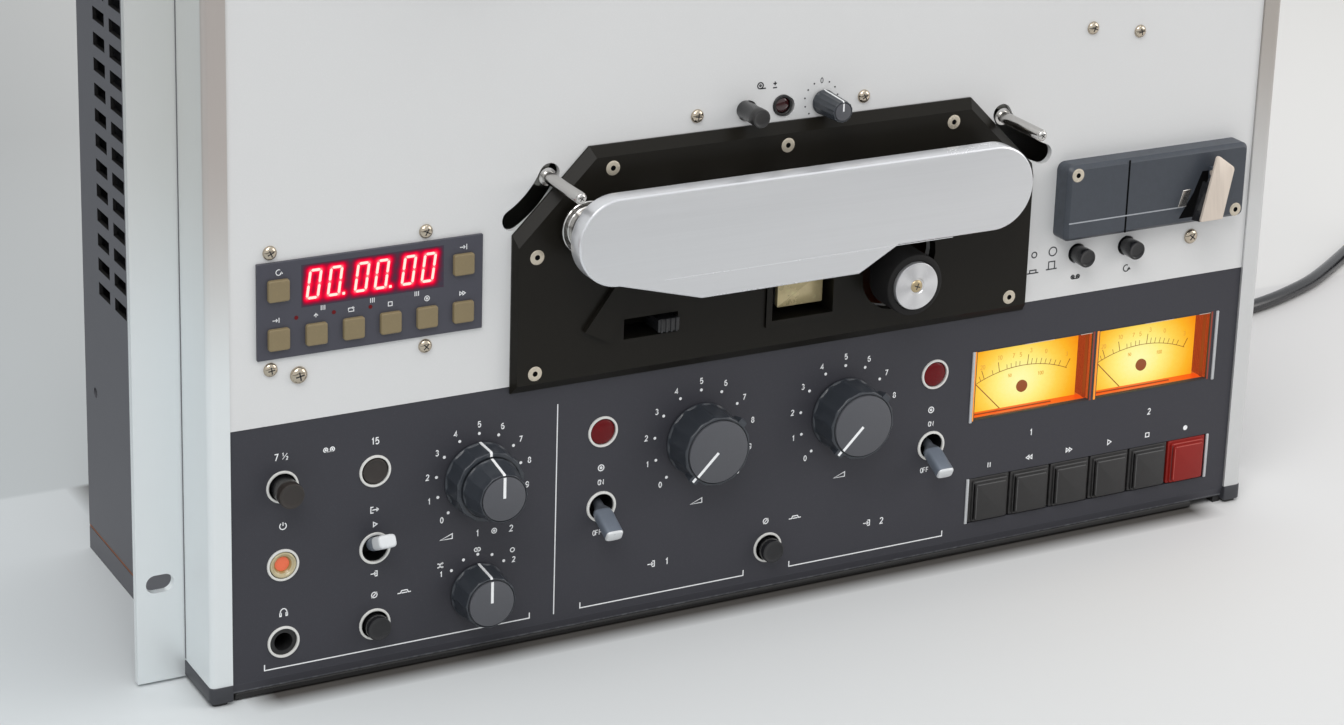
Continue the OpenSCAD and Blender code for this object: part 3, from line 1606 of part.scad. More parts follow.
// Two-pin plug at the end of the lead, lying on the floor
module mains_plug() {
    color("black")
        translate([tail_x, plug_y, plug_z])
            rotate([90, 0, 0]) {
                cylinder(h = plug_boot, r1 = cord_d / 2 + 0.8, r2 = cord_d / 2 + 2.6);
                translate([0, 0, plug_boot])
                    cylinder(h = 9, r1 = plug_r * 0.6, r2 = plug_r);
                translate([0, 0, plug_boot + 9])
                    cylinder(h = plug_len, r = plug_r);
                for (side = [-1, 1])
                    translate([side * plug_pitch / 2, 0, plug_boot + 9 + plug_len - weld]) {
                        cylinder(h = pin_len, r = pin_r);
                        translate([0, 0, pin_len])
                            cylinder(h = 1.5, r1 = pin_r, r2 = pin_r - 1);
                    }
            }
}

chassis();
deck_plate();
control_panel();
rear_cover();
side_rails();
corner_caps();
head_housing();
head_block();
splicing_block();
counter_module();
vu_meters();
panel_fittings();
connector_panel();
reel_table_left();
reel_table_right();
tension_arm_left();
tension_arm_right();
pinch_arm();
pinch_roller();
capstan();
guide_roller();
head_cover();
cutter_lever();
edit_lever();
output_knob_outer();
output_knob_inner();
mode_knob();
input_knob_one();
input_knob_two();
varispeed_knob();
varispeed_button();
power_button();
slow_speed_button();
fast_speed_button();
output_uncal_button();
input_uncal_button();
reel_size_button();
tape_dump_button();
pause_key();
rewind_key();
forward_key();
play_key();
stop_key();
record_key();
reset_key();
transfer_key();
zero_locate_key();
address_locate_key();
repeat_key();
set_key();
select_key();
step_key();
output_toggle();
ready_toggle_one();
ready_toggle_two();
meter_needle_one();
meter_needle_two();
mains_cord();
cord_coil();
mains_plug();
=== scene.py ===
# Reel-to-reel tape recorder: the looks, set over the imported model.
# Shapes are in millimetres from the middle line, the deck face and the floor; place() makes them metres.
import bpy, bmesh, math
import numpy as np
from mathutils import Matrix, Vector


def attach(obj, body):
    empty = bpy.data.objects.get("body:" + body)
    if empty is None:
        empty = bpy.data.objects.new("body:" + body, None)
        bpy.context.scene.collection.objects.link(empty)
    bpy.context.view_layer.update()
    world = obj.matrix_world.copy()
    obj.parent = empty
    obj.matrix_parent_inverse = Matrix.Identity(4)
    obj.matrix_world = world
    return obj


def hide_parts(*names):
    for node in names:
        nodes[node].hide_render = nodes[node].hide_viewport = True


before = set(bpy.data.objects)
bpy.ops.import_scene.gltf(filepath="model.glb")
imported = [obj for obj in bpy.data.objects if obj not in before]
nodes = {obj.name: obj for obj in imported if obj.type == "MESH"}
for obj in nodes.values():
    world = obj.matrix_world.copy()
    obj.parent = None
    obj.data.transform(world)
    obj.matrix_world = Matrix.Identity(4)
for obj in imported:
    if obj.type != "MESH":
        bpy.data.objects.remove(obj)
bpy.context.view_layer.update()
print("frame loaded,", len(nodes), "nodes")

deckY = -74.0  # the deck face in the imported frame


def place(points):
    # p / 1000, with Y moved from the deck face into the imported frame
    return (np.asarray(points, float).reshape(-1, 3) + [0, deckY, 0]) / 1000


# Surfaces: a shell is (points, faces, material slot, smooth)
def gridFaces(rows, cols, wrap):
    # face (i, j) joins rows i and i + 1, columns j and j + 1, the last column to the first when wrapped
    i = np.arange(rows - 1)[:, None] * cols
    j = np.arange(cols if wrap else cols - 1)[None, :]
    k = (j + 1) % cols
    return np.stack([i + j, i + k, i + k + cols, i + j + cols], -1).reshape(-1, 4).tolist()


def sheetShell(grid, wrap=False, slot=0, smooth=True):
    rows, cols = grid.shape[:2]
    return grid.reshape(-1, 3), gridFaces(rows, cols, wrap), slot, smooth


def turned(at, profile, steps=64, slot=0, ripple=None):
    # radius r(y) carried round the axis along Y: x = r cos a, z = r sin a; ripple(a, k) is added to r
    prof = np.asarray(profile, float)
    a = np.linspace(0, 2 * np.pi, steps, endpoint=False)
    r = np.repeat(prof[:, :1], steps, 1)
    if ripple is not None:
        r = np.maximum(r + ripple(a[None, :], np.arange(len(prof))[:, None]), 0)
    y = np.repeat(prof[:, 1:2], steps, 1)
    return sheetShell(np.stack([at[0] + r * np.cos(a), y, at[1] + r * np.sin(a)], -1), True, slot)


def rounded(corners, radii, steps=6):
    # every corner is replaced by an arc that touches both of its edges
    pts = np.asarray(corners, float)
    radii = [radii] * len(pts) if np.isscalar(radii) else radii
    out = []
    for p, a, b, r in zip(pts, np.roll(pts, 1, 0), np.roll(pts, -1, 0), radii):
        if r <= 0:
            out.append(p)
            continue
        u, v = (a - p) / np.linalg.norm(a - p), (b - p) / np.linalg.norm(b - p)
        half = math.acos(max(-1, min(1, float(u @ v)))) / 2
        mid = p + (u + v) / np.linalg.norm(u + v) * r / math.sin(half)
        s, e = p + u * r / math.tan(half) - mid, p + v * r / math.tan(half) - mid
        t = np.linspace(0, 1, steps + 1)[:, None]
        w = math.pi - 2 * half
        out.extend(mid + (np.sin((1 - t) * w) * s + np.sin(t * w) * e) / math.sin(w))
    return np.array(out)


def rectangle(x0, x1, z0, z1, r=0.0, steps=6):
    return rounded([[x0, z0], [x1, z0], [x1, z1], [x0, z1]], r, steps)


def inward(outline, closed=True):
    # mean of the two edge normals, lengthened so that both edges move by one
    e = np.roll(outline, -1, 0) - outline
    if not closed:
        e[-1] = e[-2]
    e /= np.maximum(np.linalg.norm(e, axis=1, keepdims=True), 1e-9)
    n = np.stack([-e[:, 1], e[:, 0]], 1)
    m = np.roll(n, 1, 0)
    if not closed:
        m[0] = n[0]
    return (n + m) / np.maximum(1 + np.sum(n * m, 1, keepdims=True), 0.3)


def swept(outline, profile, slot=0, caps=(True, True)):
    # outline [x, z], moved inward by profile[k][0] at the depth profile[k][1]
    n = inward(outline)
    m = len(outline)
    rings = [np.column_stack([outline[:, 0] + n[:, 0] * d, np.full(m, y), outline[:, 1] + n[:, 1] * d])
             for d, y in profile]
    pts = np.concatenate(rings)
    shells = [(pts, gridFaces(len(profile), m, True), slot, True)]
    for want, first in zip(caps, (0, (len(profile) - 1) * m)):
        if want:
            shells.append((pts[first:first + m], [list(range(m))], slot, False))
    return shells


def slab(x0, x1, z0, z1, back, front, r=0.3, corner=0.4, slot=0):
    # straight from the back, then a quarter circle of radius r into the front face
    bend = [(r - r * math.cos(t), front + r - r * math.sin(t)) for t in np.linspace(0, np.pi / 2, 4)]
    return swept(rectangle(x0, x1, z0, z1, corner, 4), [(0.0, back)] + bend, slot)


def boxShell(x0, x1, y0, y1, z0, z1, slot=0):
    c = np.array([[x, y, z] for x in (x0, x1) for y in (y0, y1) for z in (z0, z1)], float)
    faces = [[0, 1, 3, 2], [4, 6, 7, 5], [0, 4, 5, 1], [2, 3, 7, 6], [0, 2, 6, 4], [1, 5, 7, 3]]
    return c, faces, slot, False


def tubeShell(path, radius):
    # a ring of the given radius is carried along the path, square to it
    way = np.gradient(path, axis=0)
    way /= np.linalg.norm(way, axis=1, keepdims=True)
    side = np.cross(way, [0, 0, 1.0])
    side /= np.linalg.norm(side, axis=1, keepdims=True)
    top = np.cross(side, way)
    sides = 16
    a = np.linspace(0, 2 * np.pi, sides, endpoint=False)[None, :, None]
    pts = path[:, None] + radius * (np.cos(a) * side[:, None] + np.sin(a) * top[:, None])
    return [sheetShell(pts, True)] + [(pts[k], [list(range(sides))], 0, False) for k in (0, -1)]


def moved(shell, shift=(0, 0, 0), turn=None, about=(0, 0, 0)):
    # q = R (p - about) + about + shift
    p = shell[0] - np.asarray(about, float)
    if turn is not None:
        p = p @ np.array(turn, float).T
    return (p + np.asarray(about, float) + np.asarray(shift, float),) + tuple(shell[1:])


def aboutX(degrees):
    return np.array(Matrix.Rotation(math.radians(degrees), 3, "X"))


def build(name, shells, looks, body="recorder", replaces=(), crease=32, glow=None):
    # joins the shells, merges their seams, turns the faces outward and hands the piece to its body;
    # a piece on a body that moves replaces the node of that name
    # a sheet that carries the attribute glow, a value for every point, keeps its faces as they are
    start, points, faces, slots, smooth = 0, [], [], [], []
    for pts, fs, slot, soft in shells:
        points.append(pts)
        faces += [[i + start for i in f] for f in fs]
        slots += [slot] * len(fs)
        smooth += [soft] * len(fs)
        start += len(pts)
    mesh = bpy.data.meshes.new(name)
    mesh.from_pydata(place(np.concatenate(points)), [], faces)
    mesh.polygons.foreach_set("material_index", slots)
    mesh.polygons.foreach_set("use_smooth", smooth)
    if glow is not None:
        mesh.attributes.new("glow", "FLOAT", "POINT").data.foreach_set("value", glow.ravel())
    work = bmesh.new()
    work.from_mesh(mesh)
    bmesh.ops.remove_doubles(work, verts=work.verts, dist=2e-6)
    if glow is None:
        bmesh.ops.recalc_face_normals(work, faces=work.faces)
    work.to_mesh(mesh)
    work.free()
    mesh.set_sharp_from_angle(angle=math.radians(crease))
    piece = bpy.data.objects.new(name, mesh)
    bpy.context.scene.collection.objects.link(piece)
    for look in looks:
        mesh.materials.append(paint[look])
    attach(piece, body)
    if body != "recorder":
        replaces = (body,)
    if replaces:
        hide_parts(*replaces)
    return piece


def capName(node):
    # record_key becomes RecordKey
    return node.replace("_", " ").title().replace(" ", "")


# Camera, at the photograph's place
cameraSet = {"spot": (-577.7, -985.0, 536.9), "right": (0.8841, -0.4663, 0.0295),
             "up": (0.1155, 0.2793, 0.9532), "lens": 87.68, "sensor": 36.0, "shiftY": -0.1581,
             "clip": (0.05, 60)}
right, up = Vector(cameraSet["right"]).normalized(), Vector(cameraSet["up"])
up = (up - right * up.dot(right)).normalized()
camera = bpy.data.objects.new("photoCamera", bpy.data.cameras.new("photoCamera"))
camera.data.lens = cameraSet["lens"]
camera.data.sensor_width = cameraSet["sensor"]
camera.data.sensor_fit = "HORIZONTAL"
camera.data.shift_y = cameraSet["shiftY"]
camera.data.clip_start, camera.data.clip_end = cameraSet["clip"]
axes = Matrix((right, up, right.cross(up))).transposed().to_4x4()
camera.matrix_world = Matrix.Translation(Vector(place(cameraSet["spot"])[0])) @ axes
bpy.context.scene.collection.objects.link(camera)
bpy.context.scene.camera = camera
print("camera placed")

# Mains lead, from the strain relief to its coil and plug
leadSet = {"diameter": 6.5, "floor": 3.33, "coilAt": (520.5, 122.0), "coilIn": 27.0, "step": 7.0, "down": 3,
           "up": 2.75, "dip": 0.95, "run": 6.5, "rings": 32}
leadRoute = [[150, 104, 40], [150, 118, 39.5], [150.5, 131, 36], [153, 143, 29.5], [158, 152, 20.5],
             [167, 158, 12], [179, 160.5, 6], [194, 158, 3.5], [210, 151, 3.3], [225, 142, 3.3],
             [240, 132, 3.3], [255, 122.5, 3.3], [271, 114, 3.3], [288, 107.5, 3.3], [306, 103, 3.3],
             [325, 100.5, 3.3], [344, 100.5, 3.3], [363, 103, 3.3], [381, 107.5, 3.3], [399, 114, 3.3],
             [416, 121.5, 3.3], [433, 131.5, 3.3], [450, 142.5, 3.3], [466, 153, 3.3], [482, 163, 3.3],
             [490, 167, 3.3], [498.5, 169.3, 3.3], [507, 170, 3.3], [514, 170, 3.3]]


def smoothRoute(points):
    # Catmull-Rom, in four steps: the slope at each point is half the step between its neighbours
    p = np.asarray(points, float)
    q = np.vstack([2 * p[0] - p[1], p, 2 * p[-1] - p[-2]])
    t = np.linspace(0, 1, 4, endpoint=False)[None, :, None]
    a, b, c, d = q[:-3, None], q[1:-2, None], q[2:-1, None], q[3:, None]
    square, cube = 2 * a - 5 * b + 4 * c - d, 3 * b - a - 3 * c + d
    out = 0.5 * (2 * b + (c - a) * t + square * t ** 2 + cube * t ** 3)
    return np.vstack([out.reshape(-1, 3), p[-1:]])


def coilRoute():
    # radius falls by one step a turn on the floor, dips in a half turn's climb, and grows again on top
    s = leadSet
    turns = s["down"] + 0.5 + s["up"]
    t = np.linspace(0, turns, int(turns * s["rings"]) + 1)
    u = np.clip((t - s["down"]) / 0.5, 0, 1)
    out = s["coilIn"] + s["down"] * s["step"]
    climb = s["coilIn"] - s["dip"] * np.sin(np.pi * u)
    over = s["coilIn"] + s["step"] * (t - s["down"] - 0.5)
    r = np.where(t < s["down"], out - s["step"] * t, np.where(t < s["down"] + 0.5, climb, over))
    x, y = s["coilAt"]
    return np.column_stack([x + r * np.sin(2 * np.pi * t), y + r * np.cos(2 * np.pi * t),
                            s["floor"] + s["step"] * u])


coil = coilRoute()
tailStart = np.array([coil[-1][0], leadSet["coilAt"][1] - leadSet["run"], leadSet["floor"] + leadSet["step"]])
tail = tailStart + [[0, 0, 0], [0, -7, 0], [0, -20, 0.9], [0, -33, 2.3], [0, -42, 2.7], [0, -49, 2.7]]
leadPath = np.vstack([smoothRoute(leadRoute), coil, smoothRoute(tail)]) - [0, deckY, 0]


# Shader helpers: a value is a number, a colour or a vector, or the socket that it comes from
def fill(tree, made, values):
    # label or place of an input: its value
    for label, value in values.items():
        socket = made.inputs[label.replace("_", " ") if isinstance(label, str) else label]
        if isinstance(value, bpy.types.NodeSocket):
            tree.links.new(value, socket)
        else:
            socket.default_value = value


def node(tree, kind, *values, **named):
    # values go to the inputs in order, named ones to the input or the setting of that name
    made = tree.nodes.new("ShaderNode" + kind)
    inputs = dict(enumerate(values))
    for label, value in named.items():
        if label.replace("_", " ") in made.inputs:
            inputs[label] = value
        else:
            setattr(made, label, value)
    fill(tree, made, inputs)
    return made.outputs


def groupNode(tree, group, values):
    made = tree.nodes.new("ShaderNodeGroup")
    made.node_tree = group
    fill(tree, made, values)
    return made.outputs


def sums(tree, operation, *values):
    return node(tree, "Math", *values, operation=operation)[0]


def ranged(tree, value, low, high, first=0.0, last=1.0, **settings):
    # low to high becomes first to last, and stays at the nearer one outside
    return node(tree, "MapRange", value, low, high, first, last, **settings)[0]


def maskMix(tree, mask, a, b):
    # a (1 - mask) + b mask; the colours are the seventh and the eighth input of the node
    mix = tree.nodes.new("ShaderNodeMix")
    mix.data_type = "RGBA"
    fill(tree, mix, {0: mask, 6: a, 7: b})
    return mix.outputs[2]


def objectPoint(tree):
    return node(tree, "TexCoord")["Object"]


def objectAxes(tree):
    return node(tree, "SeparateXYZ", objectPoint(tree))


# Shared shader groups: they put out only colours, values and masks
def newGroup(name, inputs, outputs):
    # inputs and outputs are {label: kind of socket}
    group = bpy.data.node_groups.new(name, "ShaderNodeTree")
    for way, sockets in (("INPUT", inputs), ("OUTPUT", outputs)):
        for label, kind in sockets.items():
            group.interface.new_socket(label, in_out=way, socket_type="NodeSocket" + kind)
    return group, group.nodes.new("NodeGroupInput").outputs, group.nodes.new("NodeGroupOutput")


finishOut = {"Color": "Color", "Roughness": "Float", "Height": "Float"}


def grainGroup():
    # paint and plastic: a slow cloudy shade and a fine speckle
    kinds = {"Color": "Color", "Shade": "Color", "Speckle": "Color", "Grain": "Float", "Cloud": "Float",
             "Speckle Amount": "Float", "Rough Low": "Float", "Rough High": "Float"}
    group, given, out = newGroup("finishGrain", kinds, finishOut)
    at = objectPoint(group)
    cloud = node(group, "TexNoise", Vector=at, Scale=given["Cloud"], Detail=5.0, Roughness=0.6)["Fac"]
    grain = node(group, "TexNoise", Vector=at, Scale=given["Grain"], Detail=3.0, Roughness=0.55)["Fac"]
    spots = sums(group, "MULTIPLY", ranged(group, grain, 0.56, 0.66), given["Speckle Amount"])
    shade = ranged(group, cloud, 0.3, 0.7)
    base = maskMix(group, shade, given["Shade"], given["Color"])
    both = sums(group, "MULTIPLY_ADD", grain, 0.5, shade)
    fill(group, out, {"Color": maskMix(group, spots, base, given["Speckle"]), "Height": grain,
                      "Roughness": ranged(group, both, 0.1, 1.4, given["Rough Low"], given["Rough High"])})
    return group


def brushedGroup():
    # metal: streaks are noise on coordinates that are squeezed across the brushing
    kinds = {"Color": "Color", "Streak": "Color", "Stretch": "Vector", "Rough Low": "Float",
             "Rough High": "Float"}
    group, given, out = newGroup("brushedGrain", kinds, finishOut)
    at = objectPoint(group)
    wide = node(group, "VectorMath", at, given["Stretch"], operation="MULTIPLY")[0]
    lines = node(group, "TexNoise", Vector=wide, Scale=1.0, Detail=4.0, Roughness=0.7)["Fac"]
    cloud = node(group, "TexNoise", Vector=at, Scale=22.0, Detail=4.0)["Fac"]
    mask = ranged(group, lines, 0.35, 0.65)
    both = sums(group, "ADD", mask, cloud)
    fill(group, out, {"Color": maskMix(group, mask, given["Streak"], given["Color"]), "Height": lines,
                      "Roughness": ranged(group, both, 0.3, 1.6, given["Rough Low"], given["Rough High"])})
    return group


def wearGroup():
    # edges lightened by wear where hands and cloths reach first, and by painted highlight where edges catch
    # the light: pointiness above flat, broken up by noise
    group, given, out = newGroup("edgeWearAndHighlight", {"Color": "Color", "WearAndHighlight": "Color", "Amount": "Float"},
                                 {"Color": "Color"})
    edge = ranged(group, node(group, "NewGeometry")["Pointiness"], 0.52, 0.62)
    noise = node(group, "TexNoise", Vector=objectPoint(group), Scale=420.0, Detail=3.0)["Fac"]
    mask = sums(group, "MULTIPLY", edge, ranged(group, noise, 0.35, 0.6, 0.25, 1.0))
    mask = sums(group, "MULTIPLY", mask, given["Amount"])
    fill(group, out, {"Color": maskMix(group, mask, given["Color"], given["WearAndHighlight"])})
    return group


finishGrain = grainGroup()
brushedGrain = brushedGroup()
edgeWearAndHighlight = wearGroup()


def rgb(r, g, b):
    # 0-255 as it shows on the screen, to the linear value a shader takes
    c = np.array([r, g, b]) / 255
    return tuple(np.where(c <= 0.04045, c / 12.92, ((c + 0.055) / 1.055) ** 2.4)) + (1.0,)


def shift(color, k):
    return tuple(min(1.0, c * k) for c in color[:3]) + (1.0,)


def blankMaterial(name):
    mat = bpy.data.materials.new(name)
    mat.use_nodes = True
    return mat, mat.node_tree, mat.node_tree.nodes["Principled BSDF"]


def material(name, color, rough=(0.4, 0.5), metallic=0.0, grain=900.0, cloud=14.0, contrast=0.05,
             speckle=0.08, bump=0.03, brushed=None, wearAndHighlight=None, **sockets):
    # rough is its lowest and highest value; the edge pair is the brightness of the edges and their share,
    # lighter for wear and as painted highlight
    mat, tree, shader = blankMaterial(name)
    values = {"Color": color, "Rough Low": rough[0], "Rough High": rough[1]}
    dark = shift(color, 1 - contrast)
    if brushed:
        finish = groupNode(tree, brushedGrain, {**values, "Streak": dark, "Stretch": brushed})
    else:
        finish = groupNode(tree, finishGrain,
                           {**values, "Shade": dark, "Speckle": shift(color, 1.6), "Grain": grain,
                            "Cloud": cloud, "Speckle Amount": speckle})
    tone = finish["Color"]
    if wearAndHighlight:
        bright = shift(color, wearAndHighlight[0])
        tone = groupNode(tree, edgeWearAndHighlight, {"Color": tone, "WearAndHighlight": bright, "Amount": wearAndHighlight[1]})["Color"]
    fill(tree, shader,
         {"Base Color": tone, "Roughness": finish["Roughness"], "Metallic": metallic, **sockets})
    if bump:
        relief = node(tree, "Bump", Height=finish["Height"], Strength=bump, Distance=0.0005)[0]
        fill(tree, shader, {"Normal": relief})
    return mat


def inkMaterial(name, color):
    return material(name, color, (0.5, 0.6), grain=2500.0, contrast=0.08, speckle=0.0, bump=0.0)


paint = {
    "deck": material("deckPaint", rgb(219, 219, 219), (0.42, 0.52), grain=1800.0, cloud=9.0, contrast=0.02,
                     speckle=0.05, bump=0.05),
    "panel": material("panelPaint", rgb(58, 58, 64), (0.45, 0.58), grain=2600.0, cloud=10.0, contrast=0.06,
                      speckle=0.25, bump=0.06, Specular_IOR_Level=0.3),
    "rail": material("railAluminium", rgb(208, 212, 213), (0.38, 0.48), 0.55, contrast=0.04,
                     brushed=(1800.0, 1800.0, 30.0)),
    "cap": material("capPlastic", rgb(52, 53, 58), (0.35, 0.5), grain=1500.0, contrast=0.1, bump=0.06),
    "cover": material("coverPaint", rgb(92, 92, 97), (0.5, 0.62), grain=1500.0, cloud=12.0, contrast=0.07,
                      speckle=0.12, bump=0.08),
    "chassis": material("chassisZinc", rgb(150, 150, 146), (0.35, 0.5), 0.8, grain=60.0, cloud=50.0,
                        contrast=0.15, bump=0.02),
    "housing": material("housingPaint", rgb(30, 28, 24), (0.26, 0.36), grain=2200.0, contrast=0.1,
                        speckle=0.12, Specular_IOR_Level=0.14),
    "silver": material("satinAluminium", rgb(200, 200, 203), (0.34, 0.42), 0.85,
                       brushed=(30.0, 1600.0, 1600.0), bump=0.02),
    "steel": material("polishedSteel", rgb(205, 203, 200), (0.12, 0.22), 1.0, contrast=0.06,
                      brushed=(1500.0, 40.0, 1500.0), bump=0.01),
    "splice": material("blockPaint", rgb(58, 63, 71), (0.35, 0.48), grain=1600.0, contrast=0.08, speckle=0.2,
                       bump=0.06, wearAndHighlight=(1.9, 0.7)),
    "creamScrew": material("passivatedZinc", rgb(206, 196, 178), (0.2, 0.32), 0.35, grain=700.0,
                           contrast=0.12),
    "void": material("pocketShade", rgb(9, 9, 10), (0.8, 0.9), grain=600.0, contrast=0.2, bump=0.0,
                     Specular_IOR_Level=0.05),
    "gloss": material("glossBlack", rgb(27, 27, 29), (0.16, 0.26), grain=1100.0, contrast=0.1,
                      wearAndHighlight=(2.4, 0.6)),
    "black": material("blackPlastic", rgb(46, 46, 46), (0.3, 0.42), grain=1400.0, contrast=0.12, bump=0.05,
                      wearAndHighlight=(1.5, 0.4)),
    "rubber": material("rollerRubber", rgb(24, 23, 23), (0.55, 0.7), grain=1200.0, contrast=0.15, bump=0.1,
                       Specular_IOR_Level=0.25),
    "knob": material("knobPlastic", rgb(52, 56, 62), (0.26, 0.38), grain=1500.0, contrast=0.08, speckle=0.12,
                     bump=0.05, wearAndHighlight=(1.5, 0.5)),
    # the knob's face: a lighter copy of the knob plastic, as painted light from the front
    "litKnobFace": material("knobFaceLitPlastic", rgb(80, 81, 86), (0.42, 0.55), grain=1500.0, contrast=0.06,
                         speckle=0.1, bump=0.05),
    "key": material("keyPlastic", rgb(36, 35, 35), (0.3, 0.42), grain=1300.0, contrast=0.08, speckle=0.12,
                    bump=0.06, wearAndHighlight=(3.2, 1.0)),
    "speedCap": material("speedCapPlastic", rgb(44, 38, 34), (0.3, 0.42), grain=1300.0, contrast=0.1,
                         speckle=0.12, bump=0.05, wearAndHighlight=(1.6, 0.5)),
    "stemBlack": material("stemBlackPlastic", rgb(22, 22, 24), (0.14, 0.24), grain=1100.0, contrast=0.1,
                          bump=0.02),
    "darkLens": material("darkLensPlastic", rgb(58, 8, 14), (0.08, 0.14), grain=300.0, contrast=0.5,
                         bump=0.0, Coat_Weight=0.6, Coat_Roughness=0.05),
    "amberGlass": material("amberPlastic", rgb(176, 142, 84), (0.2, 0.3), grain=300.0, contrast=0.3,
                           bump=0.02, Coat_Weight=0.4),
    "blueTip": material("blueGreyPlastic", rgb(118, 126, 138), (0.26, 0.38), 0.2, contrast=0.06),
    "tipEnd": material("polishedEnd", rgb(222, 224, 226), (0.22, 0.32), 0.2, bump=0.02),
    "record": material("recordPlastic", rgb(138, 27, 20), (0.35, 0.48), grain=1300.0, contrast=0.08,
                       bump=0.06, wearAndHighlight=(1.5, 0.6), Specular_IOR_Level=0.3),
    "olive": material("counterKeyPlastic", rgb(134, 119, 88), (0.45, 0.55), grain=1300.0, contrast=0.07,
                      bump=0.05),
    "counter": material("counterPlastic", rgb(66, 66, 76), (0.4, 0.5), grain=1800.0, contrast=0.06,
                        bump=0.04),
    "ring": material("ringEnamel", rgb(228, 227, 223), (0.2, 0.3), 0.15, grain=1200.0, contrast=0.08,
                     bump=0.02),
    "socket": material("socketPlastic", rgb(24, 24, 25), (0.4, 0.5), grain=1200.0, contrast=0.1),
    "whiteTip": material("whitePlastic", rgb(222, 224, 226), (0.3, 0.4)),
    "nickel": material("nickelPlate", rgb(196, 184, 166), (0.08, 0.16), 1.0, grain=700.0, contrast=0.1,
                       bump=0.02),
    "brass": material("yellowZinc", rgb(190, 172, 138), (0.28, 0.4), 0.9, grain=700.0, contrast=0.12),
    "lens": material("lensPlastic", rgb(112, 4, 12), (0.2, 0.3), grain=300.0, contrast=0.3, bump=0.01,
                     Specular_IOR_Level=0.25),
    "cream": material("creamPlastic", rgb(196, 184, 146), (0.16, 0.26), grain=420.0, contrast=0.22,
                      speckle=0.15, Coat_Weight=0.4, Coat_Roughness=0.1),
    "orange": material("orangeLamp", rgb(222, 104, 68), (0.25, 0.35), grain=500.0, contrast=0.15,
                       Emission_Color=rgb(222, 104, 68), Emission_Strength=0.25),
    "stem": material("stemPlastic", rgb(74, 78, 84), (0.3, 0.42), contrast=0.1),
    "barWhite": material("barPlastic", rgb(196, 198, 200), (0.3, 0.4), contrast=0.08, bump=0.02),
    # painted highlight: the lit top edge of the splicing block's step
    "stepHighlight": material("blockStepHighlight", rgb(176, 180, 186), (0.3, 0.4), 0.4, contrast=0.2, bump=0.02),
    "white": inkMaterial("whiteInk", rgb(246, 247, 248)),
    "ink": inkMaterial("greyInk", rgb(40, 42, 46)),
    "cord": material("cordSheath", rgb(22, 22, 26), (0.22, 0.32), grain=700.0, contrast=0.12, bump=0.05,
                     Specular_IOR_Level=0.75),
    "trayEdge": material("trayEdgePaint", rgb(30, 29, 29), (0.45, 0.6), contrast=0.15, bump=0.04),
    "tie": material("tieFabric", rgb(36, 36, 38), (0.7, 0.85), grain=1800.0, contrast=0.2, speckle=0.2,
                    bump=0.2),
    "plug": material("plugPlastic", rgb(38, 38, 40), (0.32, 0.45), contrast=0.1, bump=0.06),
}


def lookOf(mat):
    # the finish group, whose colours a look can take over, its axes to mask by, and the shader
    tree = mat.node_tree
    finish = next(n for n in tree.nodes if n.type == "GROUP")
    return tree, finish, objectAxes(tree), tree.nodes["Principled BSDF"]


def banded(mat, bands):
    # each band (z0, z1, colour, share of chips) is laid over the base colour by the height above the floor
    tree, finish, at, shader = lookOf(mat)
    tone = shader.inputs["Base Color"].links[0].from_socket
    noise = node(tree, "TexNoise", Vector=objectPoint(tree), Scale=260.0, Detail=5.0, Roughness=0.7)["Fac"]
    soft = 0.0001
    for low, high, color, broken in bands:
        up = ranged(tree, at["Z"], low - soft, low + soft)
        down = ranged(tree, at["Z"], high - soft, high + soft, 1.0, 0.0)
        chips = ranged(tree, noise, 0.45, 0.6, 1.0 - broken, 1.0)
        mask = sums(tree, "MULTIPLY", sums(tree, "MULTIPLY", up, down), chips)
        tone = maskMix(tree, mask, tone, color)
    fill(tree, shader, {"Base Color": tone})


# painted reflection on the rails: the tones of foot and head on each side, and the warm tint of the left
# front
railReflectionTones = {"left": (rgb(232, 236, 237), rgb(219, 220, 218)),
            "right": (rgb(210, 211, 211), rgb(178, 172, 166)), "rise": (0.115, 0.21),
            "front": (-0.0736, -0.0726), "warm": rgb(190, 182, 177)}


def risingLook(mat, look):
    # brushed rails with a painted reflection: the foot is painted pale as the table it would mirror, the head
    # dark as the room; pairs are (foot, head)
    tree, finish, at, shader = lookOf(mat)
    rise = ranged(tree, at["Z"], *look["rise"], interpolation_type="SMOOTHSTEP")
    side = ranged(tree, at["X"], -0.01, 0.01)
    left, right = (maskMix(tree, rise, *look[key]) for key in ("left", "right"))
    # painted reflection: the left rail's front takes the warm tint of the room side above its foot
    warm = sums(tree, "MULTIPLY", ranged(tree, at["Y"], *look["front"], 1.0, 0.0), rise)
    tone = maskMix(tree, side, maskMix(tree, warm, left, look["warm"]), right)
    fill(tree, finish, {"Color": tone, "Streak": tone})


# painted shade inside the ventilation holes: the box they lie in and the dark colour
ventShadeLook = {"x": (0.212, 0.21915), "y": (0.018, 0.058), "z": (0.1, 0.33), "color": rgb(16, 15, 15)}


def ventWalls(mat, look):
    # painted shade: the cut edges of the ventilation holes are coloured dark, by a mask over the box (|x|, y,
    # z) they lie in
    tree, finish, at, shader = lookOf(mat)
    mask = 1.0
    for value, key in ((sums(tree, "ABSOLUTE", at["X"]), "x"), (at["Y"], "y"), (at["Z"], "z")):
        for limit, test in zip(look[key], ("GREATER_THAN", "LESS_THAN")):
            mask = sums(tree, "MULTIPLY", mask, sums(tree, test, value, limit))
    fill(tree, shader, {"Base Color": maskMix(tree, mask, finish.outputs["Color"], look["color"])})


ventWalls(paint["cover"], ventShadeLook)
risingLook(paint["rail"], railReflectionTones)
